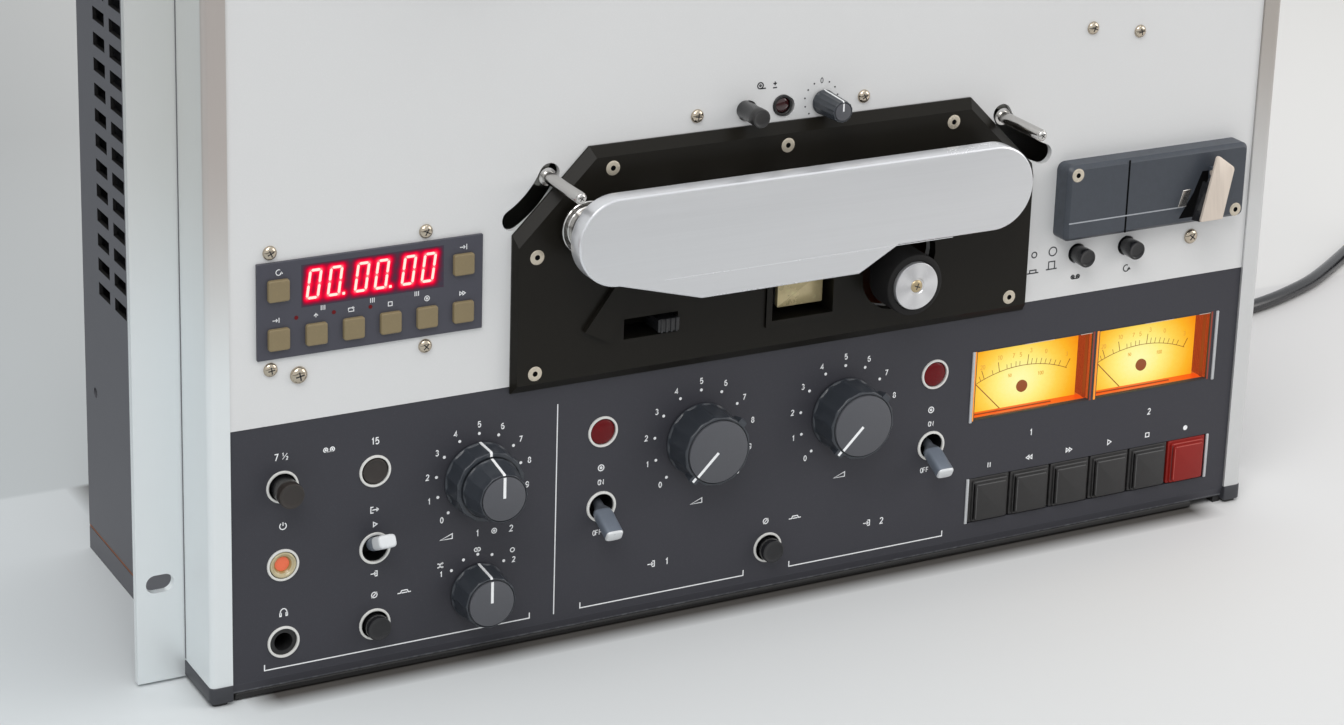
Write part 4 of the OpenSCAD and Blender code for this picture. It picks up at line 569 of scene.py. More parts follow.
# painted shade and light on the panel's lower lip: near black under the fold for the shade there, a lighter
# tone on the lip's face that turns from the light, and a painted highlight along the fold, broken by chips
banded(paint["panel"], [(-0.001, 0.0032, rgb(14, 14, 15), 0.0), (0.0037, 0.0069, rgb(66, 66, 72), 0.0),
                        (0.0031, 0.0038, rgb(112, 114, 118), 0.6)])
print("materials ready:", len(paint))

# Looks of the model's own pieces, where no new piece stands for them
cadLooks = {"chassis": "chassis", "deck_plate": "deck", "control_panel": "panel", "rear_cover": "cover",
            "side_rails": "rail", "head_housing": "housing", "head_block": "silver",
            "connector_panel": "cap", "reel_table_left": "silver", "reel_table_right": "silver",
            "pinch_arm": "cap", "capstan": "steel", "mains_plug": "plug"}
for name, look in cadLooks.items():
    nodes[name].data.materials.clear()
    nodes[name].data.materials.append(paint[look])


# Floor, background and lights
def stageWorld():
    # camera, mirrors and glass see the pale wall; everything else is lit by a weaker, cooler sky
    world = bpy.data.worlds.new("studio")
    bpy.context.scene.world = world
    world.use_nodes = True
    tree = world.node_tree
    shown = tree.nodes["Background"]
    lit = tree.nodes.new("ShaderNodeBackground")
    fill(tree, shown, {"Color": rgb(236, 238, 240), "Strength": 1.0})
    fill(tree, lit, {"Color": (0.95, 0.98, 1.0, 1), "Strength": 0.6})
    ray = node(tree, "LightPath")
    seen = sums(tree, "MAXIMUM", ray["Is Camera Ray"], ray["Is Glossy Ray"])
    seen = sums(tree, "MAXIMUM", seen, ray["Is Transmission Ray"])
    mix = node(tree, "MixShader", seen, lit.outputs[0], shown.outputs[0])
    fill(tree, tree.nodes["World Output"], {"Surface": mix[0]})


floorSet = {"half": 6, "across": (-0.35, 0.35), "wall": (0.129, 0.132), "depth": (0.13, 0.6),
            "apron": (-1.0, -0.5), "shade": (-0.0862, -0.0762), "ends": (0.199, 0.211)}


def shadedTone(tree, table, axes):
    # contact shadow in front of the foot: it fades over 10 mm to the front, and over 12 mm at both ends
    closeBy = ranged(tree, axes["Y"], *floorSet["shade"])
    ends = ranged(tree, sums(tree, "ABSOLUTE", axes["X"]), *floorSet["ends"], 1.0, 0.0)
    soft = sums(tree, "MULTIPLY", sums(tree, "POWER", closeBy, 0.9), ends)
    return maskMix(tree, soft, table, rgb(84, 81, 78))


def floorTone(tree):
    # the tones at the left and the right end of the table and of the wall, near and far; the darker left and
    # far tones are painted shade where the light falls off
    axes = objectAxes(tree)
    across = ranged(tree, axes["X"], *floorSet["across"])
    table = maskMix(tree, across, rgb(208, 213, 215), rgb(228, 226, 225))
    wallNear = maskMix(tree, across, rgb(184, 190, 192), rgb(238, 236, 234))
    wallFar = maskMix(tree, across, rgb(142, 147, 149), rgb(230, 228, 225))
    wall = maskMix(tree, ranged(tree, axes["Y"], *floorSet["depth"]), wallNear, wallFar)
    shown = maskMix(tree, ranged(tree, axes["Y"], *floorSet["wall"]), shadedTone(tree, table, axes), wall)
    # beyond the picture's lower edge the table ends, and the dark studio shows in the metal
    return maskMix(tree, ranged(tree, axes["Y"], *floorSet["apron"]), rgb(112, 110, 108), shown)


def stageFloor():
    # a pale table top whose far part, past the line behind the recorder, has the wall's tone
    h = floorSet["half"]
    mesh = bpy.data.meshes.new("tableTop")
    mesh.from_pydata([(-h, -h, 0), (h, -h, 0), (h, h, 0), (-h, h, 0)], [], [[0, 1, 2, 3]])
    floor = bpy.data.objects.new("tableTop", mesh)
    bpy.context.scene.collection.objects.link(floor)
    mat, tree, shader = blankMaterial("tablePaper")
    fill(tree, shader, {"Base Color": floorTone(tree), "Roughness": 0.6, "Specular IOR Level": 0.2})
    mesh.materials.append(mat)


def softBox(name, spot, aim, size, power, color):
    lamp = bpy.data.objects.new(name, bpy.data.lights.new(name, "AREA"))
    lamp.data.shape = "RECTANGLE"
    lamp.data.size, lamp.data.size_y = size
    lamp.data.energy = power
    lamp.data.color = color
    lamp.location = spot
    lamp.rotation_euler = (Vector(aim) - Vector(spot)).to_track_quat("-Z", "Y").to_euler()
    bpy.context.scene.collection.objects.link(lamp)


# Each light: place, aim, size, watts and colour
lightSet = {"key": ((-1.1, -1.5, 2.2), (0, 0, 0.15), (1.6, 1.2), 30.0, (1.0, 0.99, 0.98)),
            "top": ((0.1, -0.3, 2.4), (0, 0, 0), (1.8, 1.4), 12.0, (1.0, 1.0, 1.0)),
            "side": ((2.0, -1.2, 1.0), (0, 0, 0.2), (1.2, 1.4), 13.0, (1.0, 0.96, 0.92))}
stageWorld()
stageFloor()
for lampName, values in lightSet.items():
    softBox(lampName + "Light", *values)
bpy.context.scene.view_settings.view_transform = "Standard"
print("stage ready")

# Tie round the coil of the lead: a flat band with rounded corners
tieSet = {"turn": 215.0, "in": 26.8, "out": 48.2, "low": 0.15, "high": 14.2, "wide": 8.0, "thick": 0.9,
          "bevel": 0.1, "corner": 3.2}


def tieShells():
    t = tieSet
    grow = leadSet["diameter"] / 2 + t["thick"]
    outline = rectangle(t["in"] - grow, t["out"] + grow, t["low"], t["high"], t["corner"], 6)
    half, bevel = t["wide"] / 2, t["bevel"]
    rows = [(t["thick"], -half), (bevel, -half), (0, bevel - half), (0, half - bevel), (bevel, half),
            (t["thick"], half), (t["thick"], -half)]
    turn = np.array(Matrix.Rotation(math.radians(t["turn"]), 3, "Z"))
    x, y = leadSet["coilAt"]
    return [moved(shell, (x, y - deckY, 0), turn) for shell in swept(outline, rows, 0, (False, False))]


tie = build("cordTieBand", tieShells(), ["tie"])

# The lead itself
lead = build("mainsLead", tubeShell(leadPath, leadSet["diameter"] / 2), ["cord"],
             replaces=("mains_cord", "cord_coil"))
print("lead laid")


# Marks: strokes and dots that lie on the panel and the deck
def stroke(points, width=0.34, y=0.0, closed=False, slot=0, rise=0.07):
    # a flat bar half a width to each side of the line, from just under the face to just over it
    p = np.asarray(points, float)
    n = inward(p, closed) * width / 2
    a, b = p + n, p - n
    front, back = np.full(len(p), y - rise), np.full(len(p), y + 0.05)
    sides = ((a, front), (b, front), (b, back), (a, back))
    ring = np.stack([np.column_stack([q[:, 0], d, q[:, 1]]) for q, d in sides], 1)
    if closed:
        return [sheetShell(np.concatenate([ring, ring[:1]]), True, slot, False)]
    return barShells(ring, slot)


def barShells(ring, slot):
    # a bar of four-cornered rings with flat ends
    return [sheetShell(ring, True, slot, False)] + [(ring[k], [[0, 1, 2, 3]], slot, False) for k in (0, -1)]


def dot(at, r, y=0.0, slot=0, rise=0.07, steps=14):
    return [turned(at, [(0, y + 0.05), (r, y + 0.05), (r, y - rise), (0, y - rise)], steps, slot)]


def arc(cx, cz, rx, rz, a0, a1, n=9):
    a = np.radians(np.linspace(a0, a1, n))
    return np.column_stack([cx + rx * np.cos(a), cz + rz * np.sin(a)])


def ringLine(r=0.5, cx=0.5, cz=0.5, n=25):
    return arc(cx, cz, r, r, 0, 360, n)


def mark(lines, at, size, width=0.37, y=0.0, slot=0):
    # a drawing in the unit square, centred on (0.5, 0.5), scaled and set at a place
    out = []
    for line in lines:
        p = (np.asarray(line, float) - 0.5) * size + at
        loop = len(p) > 3 and np.allclose(p[0], p[-1])
        out += stroke(p[:-1] if loop else p, width, y, loop, slot)
    return out


six = [arc(0.5, 0.31, 0.25, 0.31, 0, 360, 19),
       np.vstack([arc(0.56, 0.62, 0.31, 0.38, 70, 180, 7), [[0.25, 0.33]]])]
digits = {
    "0": [arc(0.5, 0.5, 0.25, 0.5, 0, 360, 21)],
    "1": [[(0.34, 0.78), (0.54, 1), (0.54, 0)]],
    "2": [np.vstack([arc(0.5, 0.73, 0.24, 0.27, 170, -40, 9), [(0.24, 0.0), (0.76, 0.0)]])],
    "3": [np.vstack([arc(0.5, 0.76, 0.21, 0.24, 155, -80, 8), arc(0.5, 0.27, 0.25, 0.27, 80, -155, 10)])],
    "4": [[(0.62, 0), (0.62, 1), (0.2, 0.27), (0.8, 0.27)]],
    "5": [np.vstack([[(0.72, 1), (0.32, 1), (0.27, 0.5)], arc(0.5, 0.32, 0.25, 0.33, 125, -150, 10)])],
    "6": six,
    "7": [[(0.24, 1), (0.76, 1), (0.4, 0)]],
    "8": [arc(0.5, 0.76, 0.2, 0.24, 0, 360, 15), arc(0.5, 0.26, 0.25, 0.26, 0, 360, 17)],
    "9": [1 - np.asarray(p) for p in six]}


def number(text, at, height, width=0.36, y=0.0, slot=0):
    # figures side by side, 0.68 of their height apart
    out = []
    for k, sign in enumerate(text):
        middle = [at[0] + (k - (len(text) - 1) / 2) * 0.68 * height, at[1]]
        out += mark(digits[sign], middle, height, width, y, slot)
    return out


def onCircle(at, r, degrees):
    a = math.radians(degrees)
    return at[0] + r * math.cos(a), at[1] + r * math.sin(a)


dialSet = {"first": 225, "step": 27, "dot": 0.58, "height": 2.05}


def dial(at, rDots, rNumbers):
    # 0 to 10 over 270 degrees, measured from +X
    out = []
    for n in range(11):
        angle = dialSet["first"] - dialSet["step"] * n
        out += dot(onCircle(at, rDots, angle), dialSet["dot"])
        out += number(str(n), onCircle(at, rNumbers, angle), dialSet["height"])
    return out


signs = {
    "wordOn": [[(0.42, 0), (0.42, 1), (1.02, 0), (1.02, 1)]],
    "wordOff": [[(0.2, 0), (0.2, 1), (0.68, 1)], [(0.2, 0.52), (0.6, 0.52)],
                [(0.95, 0), (0.95, 1), (1.43, 1)],
                [(0.95, 0.52), (1.35, 0.52)]],
    "reels": [ringLine(0.26, 0.08), ringLine(0.26, 0.92), [(0.08, 0.24), (0.92, 0.24)],
              ringLine(0.07, 0.08, 0.5, 11), ringLine(0.07, 0.92, 0.5, 11)],
    "power": [arc(0.5, 0.5, 0.5, 0.5, 125, 415, 19), [(0.5, 0.55), (0.5, 1.08)]],
    "phones": [arc(0.5, 0.42, 0.42, 0.52, -10, 190, 15),
               [(0.02, 0.38), (0.02, 0.0), (0.2, 0.0), (0.2, 0.38), (0.02, 0.38)],
               [(0.8, 0.38), (0.8, 0.0), (0.98, 0.0), (0.98, 0.38), (0.8, 0.38)]],
    "out": [[(0.45, 1), (0.0, 1), (0.0, 0.0), (0.45, 0.0)], [(0.25, 0.5), (1.25, 0.5)],
            [(0.98, 0.8), (1.3, 0.5), (0.98, 0.2)]],
    "in": [[(0.55, 1), (1.0, 1), (1.0, 0.0), (0.55, 0.0)], [(-0.3, 0.5), (0.7, 0.5)],
           [(0.42, 0.8), (0.74, 0.5), (0.42, 0.2)]],
    "play": [[(0.15, 0.0), (0.95, 0.5), (0.15, 1.0), (0.15, 0.0)]],
    "free": [ringLine(0.5), [(0.0, 0.0), (1.0, 1.0)]],
    "ramp": [[(-0.6, 0.1), (1.6, 0.1), (1.6, 0.95), (-0.6, 0.1)]],
    "pressed": [[(-0.75, 0.28), (-0.2, 0.28), (0.0, 0.72), (1.05, 0.72), (1.25, 0.28), (1.75, 0.28)],
                [(0.0, 0.28), (1.05, 0.28)]],
    "raised": [[(-0.4, 0.0), (0.0, 0.0), (0.0, 1.1), (1.0, 1.1), (1.0, 0.0), (1.4, 0.0)],
               [(0.0, 0.0), (1.0, 0.0)]],
    "flat": [[(-0.4, 0.0), (0.0, 0.0), (0.0, 0.42), (1.0, 0.42), (1.0, 0.0), (1.4, 0.0)],
             [(0.0, 0.0), (1.0, 0.0)]],
    "ring": [ringLine(0.5), ringLine(0.16, 0.5, 0.5, 13)],
    "one": [ringLine(0.42)],
    "two": [ringLine(0.4, 0.2), ringLine(0.4, 0.8)],
    "swap": [[(0, 0.15), (0.3, 0.15), (0.7, 0.85), (1.0, 0.85)],
             [(0, 0.85), (0.3, 0.85), (0.7, 0.15), (1.0, 0.15)],
             [(0.85, 1.0), (1.05, 0.85), (0.85, 0.7)], [(0.85, 0.3), (1.05, 0.15), (0.85, 0.0)]],
    "pause": [[(0.25, 0), (0.25, 1)], [(0.75, 0), (0.75, 1)]],
    "back": [[(0.45, 0.1), (-0.15, 0.5), (0.45, 0.9), (0.45, 0.1)],
             [(1.15, 0.1), (0.55, 0.5), (1.15, 0.9), (1.15, 0.1)]],
    "on": [[(-0.15, 0.1), (-0.15, 0.9), (0.45, 0.5), (-0.15, 0.1)],
           [(0.55, 0.1), (0.55, 0.9), (1.15, 0.5), (0.55, 0.1)]],
    "stop": [[(0.05, 0.05), (0.95, 0.05), (0.95, 0.95), (0.05, 0.95), (0.05, 0.05)]],
    "tape": [ringLine(0.5), ringLine(0.14, 0.5, 0.5, 13), [(0.5, 0.0), (1.5, 0.0)]],
    "loop": [arc(0.5, 0.5, 0.5, 0.5, 60, 360, 15), [(0.75, 0.22), (1.0, 0.5), (1.22, 0.2)]],
    "bars": [[(0.1, 0), (0.1, 1)], [(0.5, 0), (0.5, 1)], [(0.9, 0), (0.9, 1)]],
    "bar": [[(0, 0.5), (1, 0.5)]],
    "goto": [[(-0.3, 0.5), (0.7, 0.5)], [(0.4, 0.8), (0.7, 0.5), (0.4, 0.2)], [(1.0, 0.0), (1.0, 1.0)]],
    "up": [[(0.1, 0.3), (0.5, 0.8), (0.9, 0.3)], [(0.5, 0.8), (0.5, 0.0)]],
    "plus": [[(0.5, 0.05), (0.5, 0.95)], [(0.05, 0.5), (0.95, 0.5)]],
    "repeat": [[(0.0, 0.35), (0.0, 0.85), (1.1, 0.85)], [(1.1, 0.65), (1.1, 0.15), (0.0, 0.15)],
               [(0.85, 1.05), (1.15, 0.85), (0.85, 0.65)]]}

# Panel: signs and plain numbers as (what, x, z, size), dials as (centre, radii of the dots and the numbers)
panelMarks = {"line": 0.42,
              "signs": [("reels", -178.6, 90.3, 3.0), ("power", -195.9, 64.4, 2.5),
                        ("phones", -195.9, 31.5, 3.0), ("out", -161.7, 64.4, 2.2),
                        ("play", -161.2, 58.8, 1.7), ("in", -161.3, 39.7, 1.9), ("free", -161.4, 31.4, 2.1),
                        ("pressed", -149.8, 30.6, 2.1), ("free", -1.2, 31.0, 2.1),
                        ("pressed", 11.6, 30.4, 2.1), ("ramp", -133.6, 48.7, 2.2),
                        ("ramp", -31.6, 44.6, 2.2), ("ramp", 30.4, 44.4, 2.2), ("ring", -114.6, 47.8, 1.9),
                        ("swap", -135.9, 38.0, 2.1), ("two", -121.2, 41.6, 1.7), ("one", -107.2, 38.9, 1.9),
                        ("ring", -71.8, 65.0, 2.3), ("ring", 70.6, 64.6, 2.3), ("in", -49.6, 22.4, 2.2),
                        ("in", 44.1, 22.0, 2.2), ("pause", 99.1, 36.8, 2.0), ("back", 117.9, 36.8, 2.1),
                        ("on", 136.9, 36.8, 2.1), ("play", 156.3, 36.8, 2.1), ("stop", 174.9, 36.8, 1.9)],
              "plain": [("1", -121.2, 48, 2.3), ("2", -107.8, 47.6, 2.3), ("1", -135.4, 34.4, 1.9),
                        ("2", -106.6, 35.1, 1.9), ("1", -43.2, 22.3, 2.4), ("2", 50.6, 21.9, 2.4),
                        ("1", 118.1, 47.4, 2.4), ("2", 174.9, 47.0, 2.4), ("7", -198.2, 90.6, 2.35),
                        ("15", -161.2, 90.6, 2.35), ("1", -195.7, 91.3, 1.15), ("2", -194.2, 89.9, 1.15)],
              "dials": [((-121, 70), 16.8, 20.3), ((-31, 70), 19.1, 22.7), ((31, 70), 19.1, 22.7)],
              "words": [("wordOn", -71.7, 59.3), ("wordOn", 70.9, 58.8), ("wordOff", -72.8, 39.4),
                        ("wordOff", 69.0, 39.8)], "word": 1.9, "wordLine": 0.28,
              "lead": {"wordOn": 0.75, "wordOff": 1.3},
              "brackets": [(-203.2, -99.9), (-79.2, -10.2), (9.8, 78.8)], "bracket": (10.2, 12.4),
              "mode": (-121, 25.5), "modeDots": (-47, -23.5, 0, 23.5, 47), "modeR": 14.2,
              "recordDot": (193.7, 36.8)}
m = panelMarks
marks = []
for values in m["dials"]:
    marks += dial(*values)
for kind, x, z, size in m["signs"]:
    marks += mark(signs[kind], (x, z), size)
for text, x, z, size in m["plain"]:
    marks += number(text, (x, z), size, 0.24 if size < 1.5 else 0.38)
marks += stroke([(-195.9, 89.6), (-194.1, 91.7)], 0.2)
marks += dot(m["recordDot"], 1.05)
for turn in m["modeDots"]:
    marks += dot(onCircle(m["mode"], m["modeR"], 90 - turn), dialSet["dot"])
for word, x, z in m["words"]:
    # a round letter before the drawn rest of the word
    marks += number("0", (x - m["lead"][word], z), m["word"], m["wordLine"])
    marks += mark(signs[word], (x, z), m["word"], m["wordLine"])
low, high = m["bracket"]
for x0, x1 in m["brackets"]:
    marks += stroke([(x0, high), (x0, low), (x1, low), (x1, high)], m["line"])
marks += stroke([(-90, 9.8), (-90, 93)], 0.4)
build("panelMarks", marks, ["white"])

# Deck: signs, and the ten dots, the number and the line round the varispeed knob
deckMarks = {"signs": [("tape", -10.9, 204.0, 2.3), ("one", 114.0, 121.9, 2.7), ("one", 122.6, 122.2, 4.2),
                       ("flat", 113.8, 115.9, 2.9), ("raised", 122.4, 116.4, 2.8),
                       ("reels", 134.0, 110.2, 2.9), ("loop", 158.2, 110.4, 2.7), ("plus", -4.8, 204.2, 1.6),
                       ("bar", -4.8, 202.6, 1.6)], "dial": (14.9, 196.0), "dialR": 7.0,
             "dots": (0, 1, 2, 3, 4, 6, 7, 8, 9, 10)}
m = deckMarks
marks = []
for kind, x, z, size in m["signs"]:
    marks += mark(signs[kind], (x, z), size, 0.46)
marks += number("0", (14.9, 203.2), 1.9, 0.26)
for k in m["dots"]:
    marks += dot(onCircle(m["dial"], m["dialR"], dialSet["first"] - dialSet["step"] * k), 0.33, steps=10)
marks += stroke([(9.6, 188.4), (10.9, 188.4)], 0.26)
build("deckMarks", marks, ["ink"])
print("marks drawn")


# Knobs: fluted sides, a rounded shoulder, a groove round the face and a white pointer line; the face is
# painted lighter than the sides, as painted light from the front
def stripe(at, angle, path, width, raised):
    # a thin white bar that follows the profile (r, y) in the half plane at the given angle
    p = np.asarray(path, float)
    way = np.gradient(p, axis=0)
    way /= np.linalg.norm(way, axis=1, keepdims=True)
    n = np.column_stack([-way[:, 1], way[:, 0]])
    c, s = math.cos(math.radians(angle)), math.sin(math.radians(angle))
    corners = []
    for off, side in ((raised, -0.5), (raised, 0.5), (-0.25, 0.5), (-0.25, -0.5)):
        q = p + n * off
        across = side * width
        corners.append(np.column_stack([at[0] + q[:, 0] * c - across * s, q[:, 1],
                                        at[1] + q[:, 0] * s + across * c]))
    return barShells(np.stack(corners, 1), 1)


def knobSide(k):
    # profile rows (r, y, share of the flute depth) from the foot to the groove or the bore
    r0, r1, y0, y1, fillet = (k[key] for key in ("foot", "top", "y0", "y1", "fillet"))
    edge = y0 - k["skirt"]
    rows = [(0, y0, 0), (r0 - 0.25, y0, 0), (r0, y0 - 0.25, 0), (r0, edge, 0), (r0 - 0.08, edge - 0.25, 0.5)]
    low, high = edge - 0.5, y1 + fillet
    for t in np.linspace(0, 1, 5):
        rows.append((r0 - 0.1 + (r1 - r0 + 0.1) * t, low + (high - low) * t, 1))
    for t in np.radians([22, 45, 68, 90]):
        rows.append((r1 - fillet * (1 - math.cos(t)), y1 + fillet * (1 - math.sin(t)),
                     math.cos(t) ** 0.7 * 0.85))
    return rows


def wedgeShells(at, angle, r0, r1, y):
    # a small wedge on the shoulder: level in front, falling back to the side
    half, drop = 1.7, 5.5
    p = np.array([(r0, y - 0.12, half), (r1 - 0.5, y - 0.12, half), (r1, y + 0.5, half * 0.7),
                  (r1 - 0.9, y + drop, half * 0.5), (r0, y + drop, half * 0.5)])
    c, s = math.cos(math.radians(angle)), math.sin(math.radians(angle))
    sides = [np.column_stack([at[0] + p[:, 0] * c - w * p[:, 2] * s, p[:, 1],
                              at[1] + p[:, 0] * s + w * p[:, 2] * c]) for w in (-1, 1)]
    back = sheetShell(np.stack(sides, 1), False, 0, False)
    return [back] + [(q, [list(range(5))], 0, False) for q in sides]


def knob(name, **k):
    k = {"lug": 0, "fillet": 0.7, "skirt": 0.8, "line": 1.0, "collar": 0, "groove": 0.5, "proud": 0.7,
         "bore": 0, **k}
    at, y1, disc = k["at"], k["y1"], k["disc"]
    inner = disc + k["groove"]
    rows = np.array(knobSide(k) + [(inner, y1, 0), (inner - 0.04, y1 + 0.6, 0), (k["bore"], y1 + 0.6, 0)])

    def ripple(a, i):
        # parabola between two ridges: -depth (1 - (2 t - 1)^2)
        t = ((a - math.radians(k["angle"])) * k["flutes"] / (2 * np.pi)) % 1
        return -k["depth"] * rows[i[:, 0], 2][:, None] * (1 - (2 * t - 1) ** 2)

    shells = [turned(at, rows[:, :2], k["flutes"] * 10, 0, ripple)]
    low, high, r0, r1 = k["y0"] - k["skirt"], y1 + k["fillet"], k["foot"], k["top"]
    if k["lug"]:
        for turn in (k["angle"], k["angle"] + 180):
            shells += wedgeShells(at, turn, inner, r1 + k["lug"], y1)
        shells += stripe(at, k["angle"], [(inner + 0.15, y1), (r1 + k["lug"] - 0.6, y1)], k["line"],
                         raised=0.22)
    else:
        shells += stripe(at, k["angle"], [(r0 + 0.01, k["y0"] - 0.3), (r0, low), (r1 + 0.02, high)],
                         k["line"], raised=0.05)
        bend = [(r1 - k["fillet"] * (1 - math.cos(t)), y1 + k["fillet"] * (1 - math.sin(t)))
                for t in np.radians([2, 30, 60, 88])]
        shells += stripe(at, k["angle"], bend + [(inner + 0.1, y1)], k["line"], raised=0.05)
    face = y1 - k["proud"]
    if not k["bore"]:
        edgeRows = [(disc, y1 + 0.7), (disc, face + 0.25), (disc - 0.07, face + 0.08), (disc - 0.25, face),
                    (0, face)]
        shells.append(turned(at, edgeRows, 80, 2))
        shells += stripe(at, k["angle"], [(disc - 0.1, face), (0.3, face)], k["line"] * 1.1, raised=0.06)
    if k["collar"]:
        foot = k["y0"] - 0.05
        shells.append(turned(at, [(0, foot), (k["collar"], foot), (k["collar"], 0.4), (0, 0.4)], 24))
    build(name + "Cap", shells, ["knob", "white", "litKnobFace"], nodeOf[name], crease=24)


nodeOf = {"outputOuter": "output_knob_outer", "outputInner": "output_knob_inner", "mode": "mode_knob",
          "inputOne": "input_knob_one", "inputTwo": "input_knob_two", "varispeed": "varispeed_knob"}
inputKnob = {"y0": -0.5, "y1": -14.5, "foot": 14.1, "top": 13.8, "disc": 12.1, "flutes": 14, "depth": 0.5,
             "angle": 225, "fillet": 0.9, "collar": 6, "lug": 1.4}
knobSet = {
    "outputOuter": {"at": (-121, 70), "y0": -0.5, "y1": -10.5, "foot": 13.7, "top": 13.5, "disc": 11.3,
                    "groove": 0.4, "flutes": 14, "depth": 0.5, "angle": 90, "bore": 6.0, "collar": 6},
    "outputInner": {"at": (-121, 70), "y0": -10.8, "y1": -21.6, "foot": 11.2, "top": 9.3, "disc": 8.3,
                    "groove": 0.4, "flutes": 12, "depth": 0.35, "angle": 90, "skirt": 0.3, "fillet": 0.5,
                    "proud": 0.4},
    "mode": {"at": (-121, 25.5), "y0": -0.5, "y1": -12.2, "foot": 10.8, "top": 10.0, "disc": 8.7,
             "flutes": 12, "depth": 0.45, "angle": 90, "collar": 6, "line": 0.95},
    "inputOne": {"at": (-31, 70), **inputKnob},
    "inputTwo": {"at": (31, 70), **inputKnob},
    "varispeed": {"at": (15.6, 195.1), "y0": -0.5, "y1": -14.8, "foot": 4.7, "top": 4.1, "disc": 3.3,
                  "groove": 0.2, "proud": 0.25, "flutes": 14, "depth": 0.22, "angle": 90, "skirt": 0.9,
                  "fillet": 0.35, "line": 0.55, "collar": 2}}
for name, values in knobSet.items():
    knob(name, **values)
print("knobs turned")

# Transport keys: a square base flush with the panel, a low step and a rounded pad
keySet = {"first": 90.4, "pitch": 19.05, "width": 18.55, "low": 13.7, "high": 32.0, "back": 6.0,
          "names": ["pause", "rewind", "forward", "play", "stop", "record"]}
plainEdge = {"rough": (0.3, 0.42), "grain": 1300.0, "contrast": 0.15, "bump": 0.02}
# painted highlight on the keys' edges and, for the record key, painted shade in its groove
paint["keyEdgeHighlight"] = material("keyEdgeHighlight", rgb(88, 88, 88), **plainEdge)
paint["recordEdgeHighlight"] = material("recordEdgeHighlight", rgb(186, 84, 74), **plainEdge)
paint["recordGrooveShade"] = material("recordGrooveShade", rgb(84, 18, 15), **{**plainEdge, "rough": (0.4, 0.5)})


def keyLines(x0, x1, z0, z1):
    # painted highlights along the pad's and the step's top edges and the pad's left edge, and a line of
    # painted shade for the dark groove left of the pad: from, to, width, y and slot
    return [((x0 + 3.2, z1 - 2.4), (x1 - 2.9, z1 - 2.4), 0.3, -1.8, 1),
            ((x0 + 2.2, z1 - 1.25), (x1 - 2.0, z1 - 1.25), 0.28, -0.95, 1),
            ((x0 + 2.75, z0 + 1.9), (x0 + 2.75, z1 - 3.2), 0.22, -1.8, 1),
            ((x0 + 1.9, z0 + 1.3), (x0 + 1.9, z1 - 1.9), 0.6, -0.95, 2)]


for k, name in enumerate(keySet["names"]):
    x0 = keySet["first"] + keySet["pitch"] * k
    x1, z0, z1 = x0 + keySet["width"], keySet["low"], keySet["high"]
    shells = slab(x0 + 0.2, x1 - 0.2, z0, z1, keySet["back"], 0.0, 0.3, 0.4)
    shells += slab(x0 + 1.3, x1 - 1.1, z0 + 0.3, z1 - 0.9, 0.3, -0.95, 0.35, 0.9)
    shells += slab(x0 + 2.3, x1 - 2.0, z0 + 0.7, z1 - 2.0, -0.4, -1.8, 0.5, 1.3)
    for start, end, wide, y, part in keyLines(x0, x1, z0, z1):
        shells += stroke([start, end], wide, y, slot=part, rise=0.03)
    looks = ("record", "recordEdgeHighlight", "recordGrooveShade") if name == "record" else ("key", "keyEdgeHighlight", "void")
    build(name + "KeyCap", shells, looks, name + "_key")

# Counter keys
counterKeys = {"side": 7.8, "pitch": 13.8, "x": -197.6, "low": 134.8, "high": 152.5,
               "row": ["zero_locate", "address_locate", "repeat", "set", "select", "step"],
               "top": {"reset": 0, "transfer": 5}}
keyRise = [(0, 3.0), (0, -2.25), (0.06, -2.45), (0.2, -2.6), (0.45, -2.7), (0.8, -2.68)]
places = {name: (k, counterKeys["low"]) for k, name in enumerate(counterKeys["row"])}
places.update({name: (k, counterKeys["high"]) for name, k in counterKeys["top"].items()})
for name, (k, z) in places.items():
    x, h = counterKeys["x"] + counterKeys["pitch"] * k, counterKeys["side"] / 2
    build(capName(name) + "Cap", swept(rectangle(x - h, x + h, z - h, z + h, 0.9, 5), keyRise), ["olive"],
          name + "_key")
print("keys made")

# Counter: bezel, slanted seven-segment figures and their red glow
counterSet = {"x0": -205.2, "x1": -121.0, "z0": 127.5, "z1": 162.5, "front": -1.2,
              "window": (-189.1, -136.0, 145.0, 160.4), "width": 6.2, "low": 147.5, "high": 158.5,
              "digits": [-187.6, -179.9, -169.9, -162.5, -152.4, -144.9], "points": [1, 3],
              "slant": 0.14, "bar": 1.05, "step": 0.3, "halo": (0.2, 1.9), "core": (0.55, 1.15), "rim": 0.9}


def zeroSegments(x0):
    # centre lines of the six lit bars of a zero; x leans by slant times the height over the foot
    s = counterSet
    z0, z1, t = s["low"] + s["bar"] / 2, s["high"] - s["bar"] / 2, s["bar"]
    zm, a, b = (z0 + z1) / 2, x0 + t / 2, x0 + s["width"] - t / 2 - 1.2
    out = []
    for p, q in (((a, z1), (b, z1)), ((b, z1), (b, zm)), ((b, zm), (b, z0)), ((b, z0), (a, z0)),
                 ((a, z0), (a, zm)), ((a, zm), (a, z1))):
        p, q = np.array(p, float), np.array(q, float)
        u = (q - p) / np.linalg.norm(q - p)
        pair = [p + u * 0.22, q - u * 0.22]
        out.append([np.array([e[0] + s["slant"] * (e[1] - z0), e[1]]) for e in pair])
    return out


def segmentShell(p, q, width, y):
    # a long hexagon round the centre line
    u = (q - p) / np.linalg.norm(q - p)
    n = np.array([-u[1], u[0]]) * width / 2
    h = u * width / 2
    ring = np.array([p, p + h - n, q - h - n, q, q - h + n, p + h + n])
    return swept(ring, [(0, y + 0.1), (0, y), (0.08, y - 0.04)])


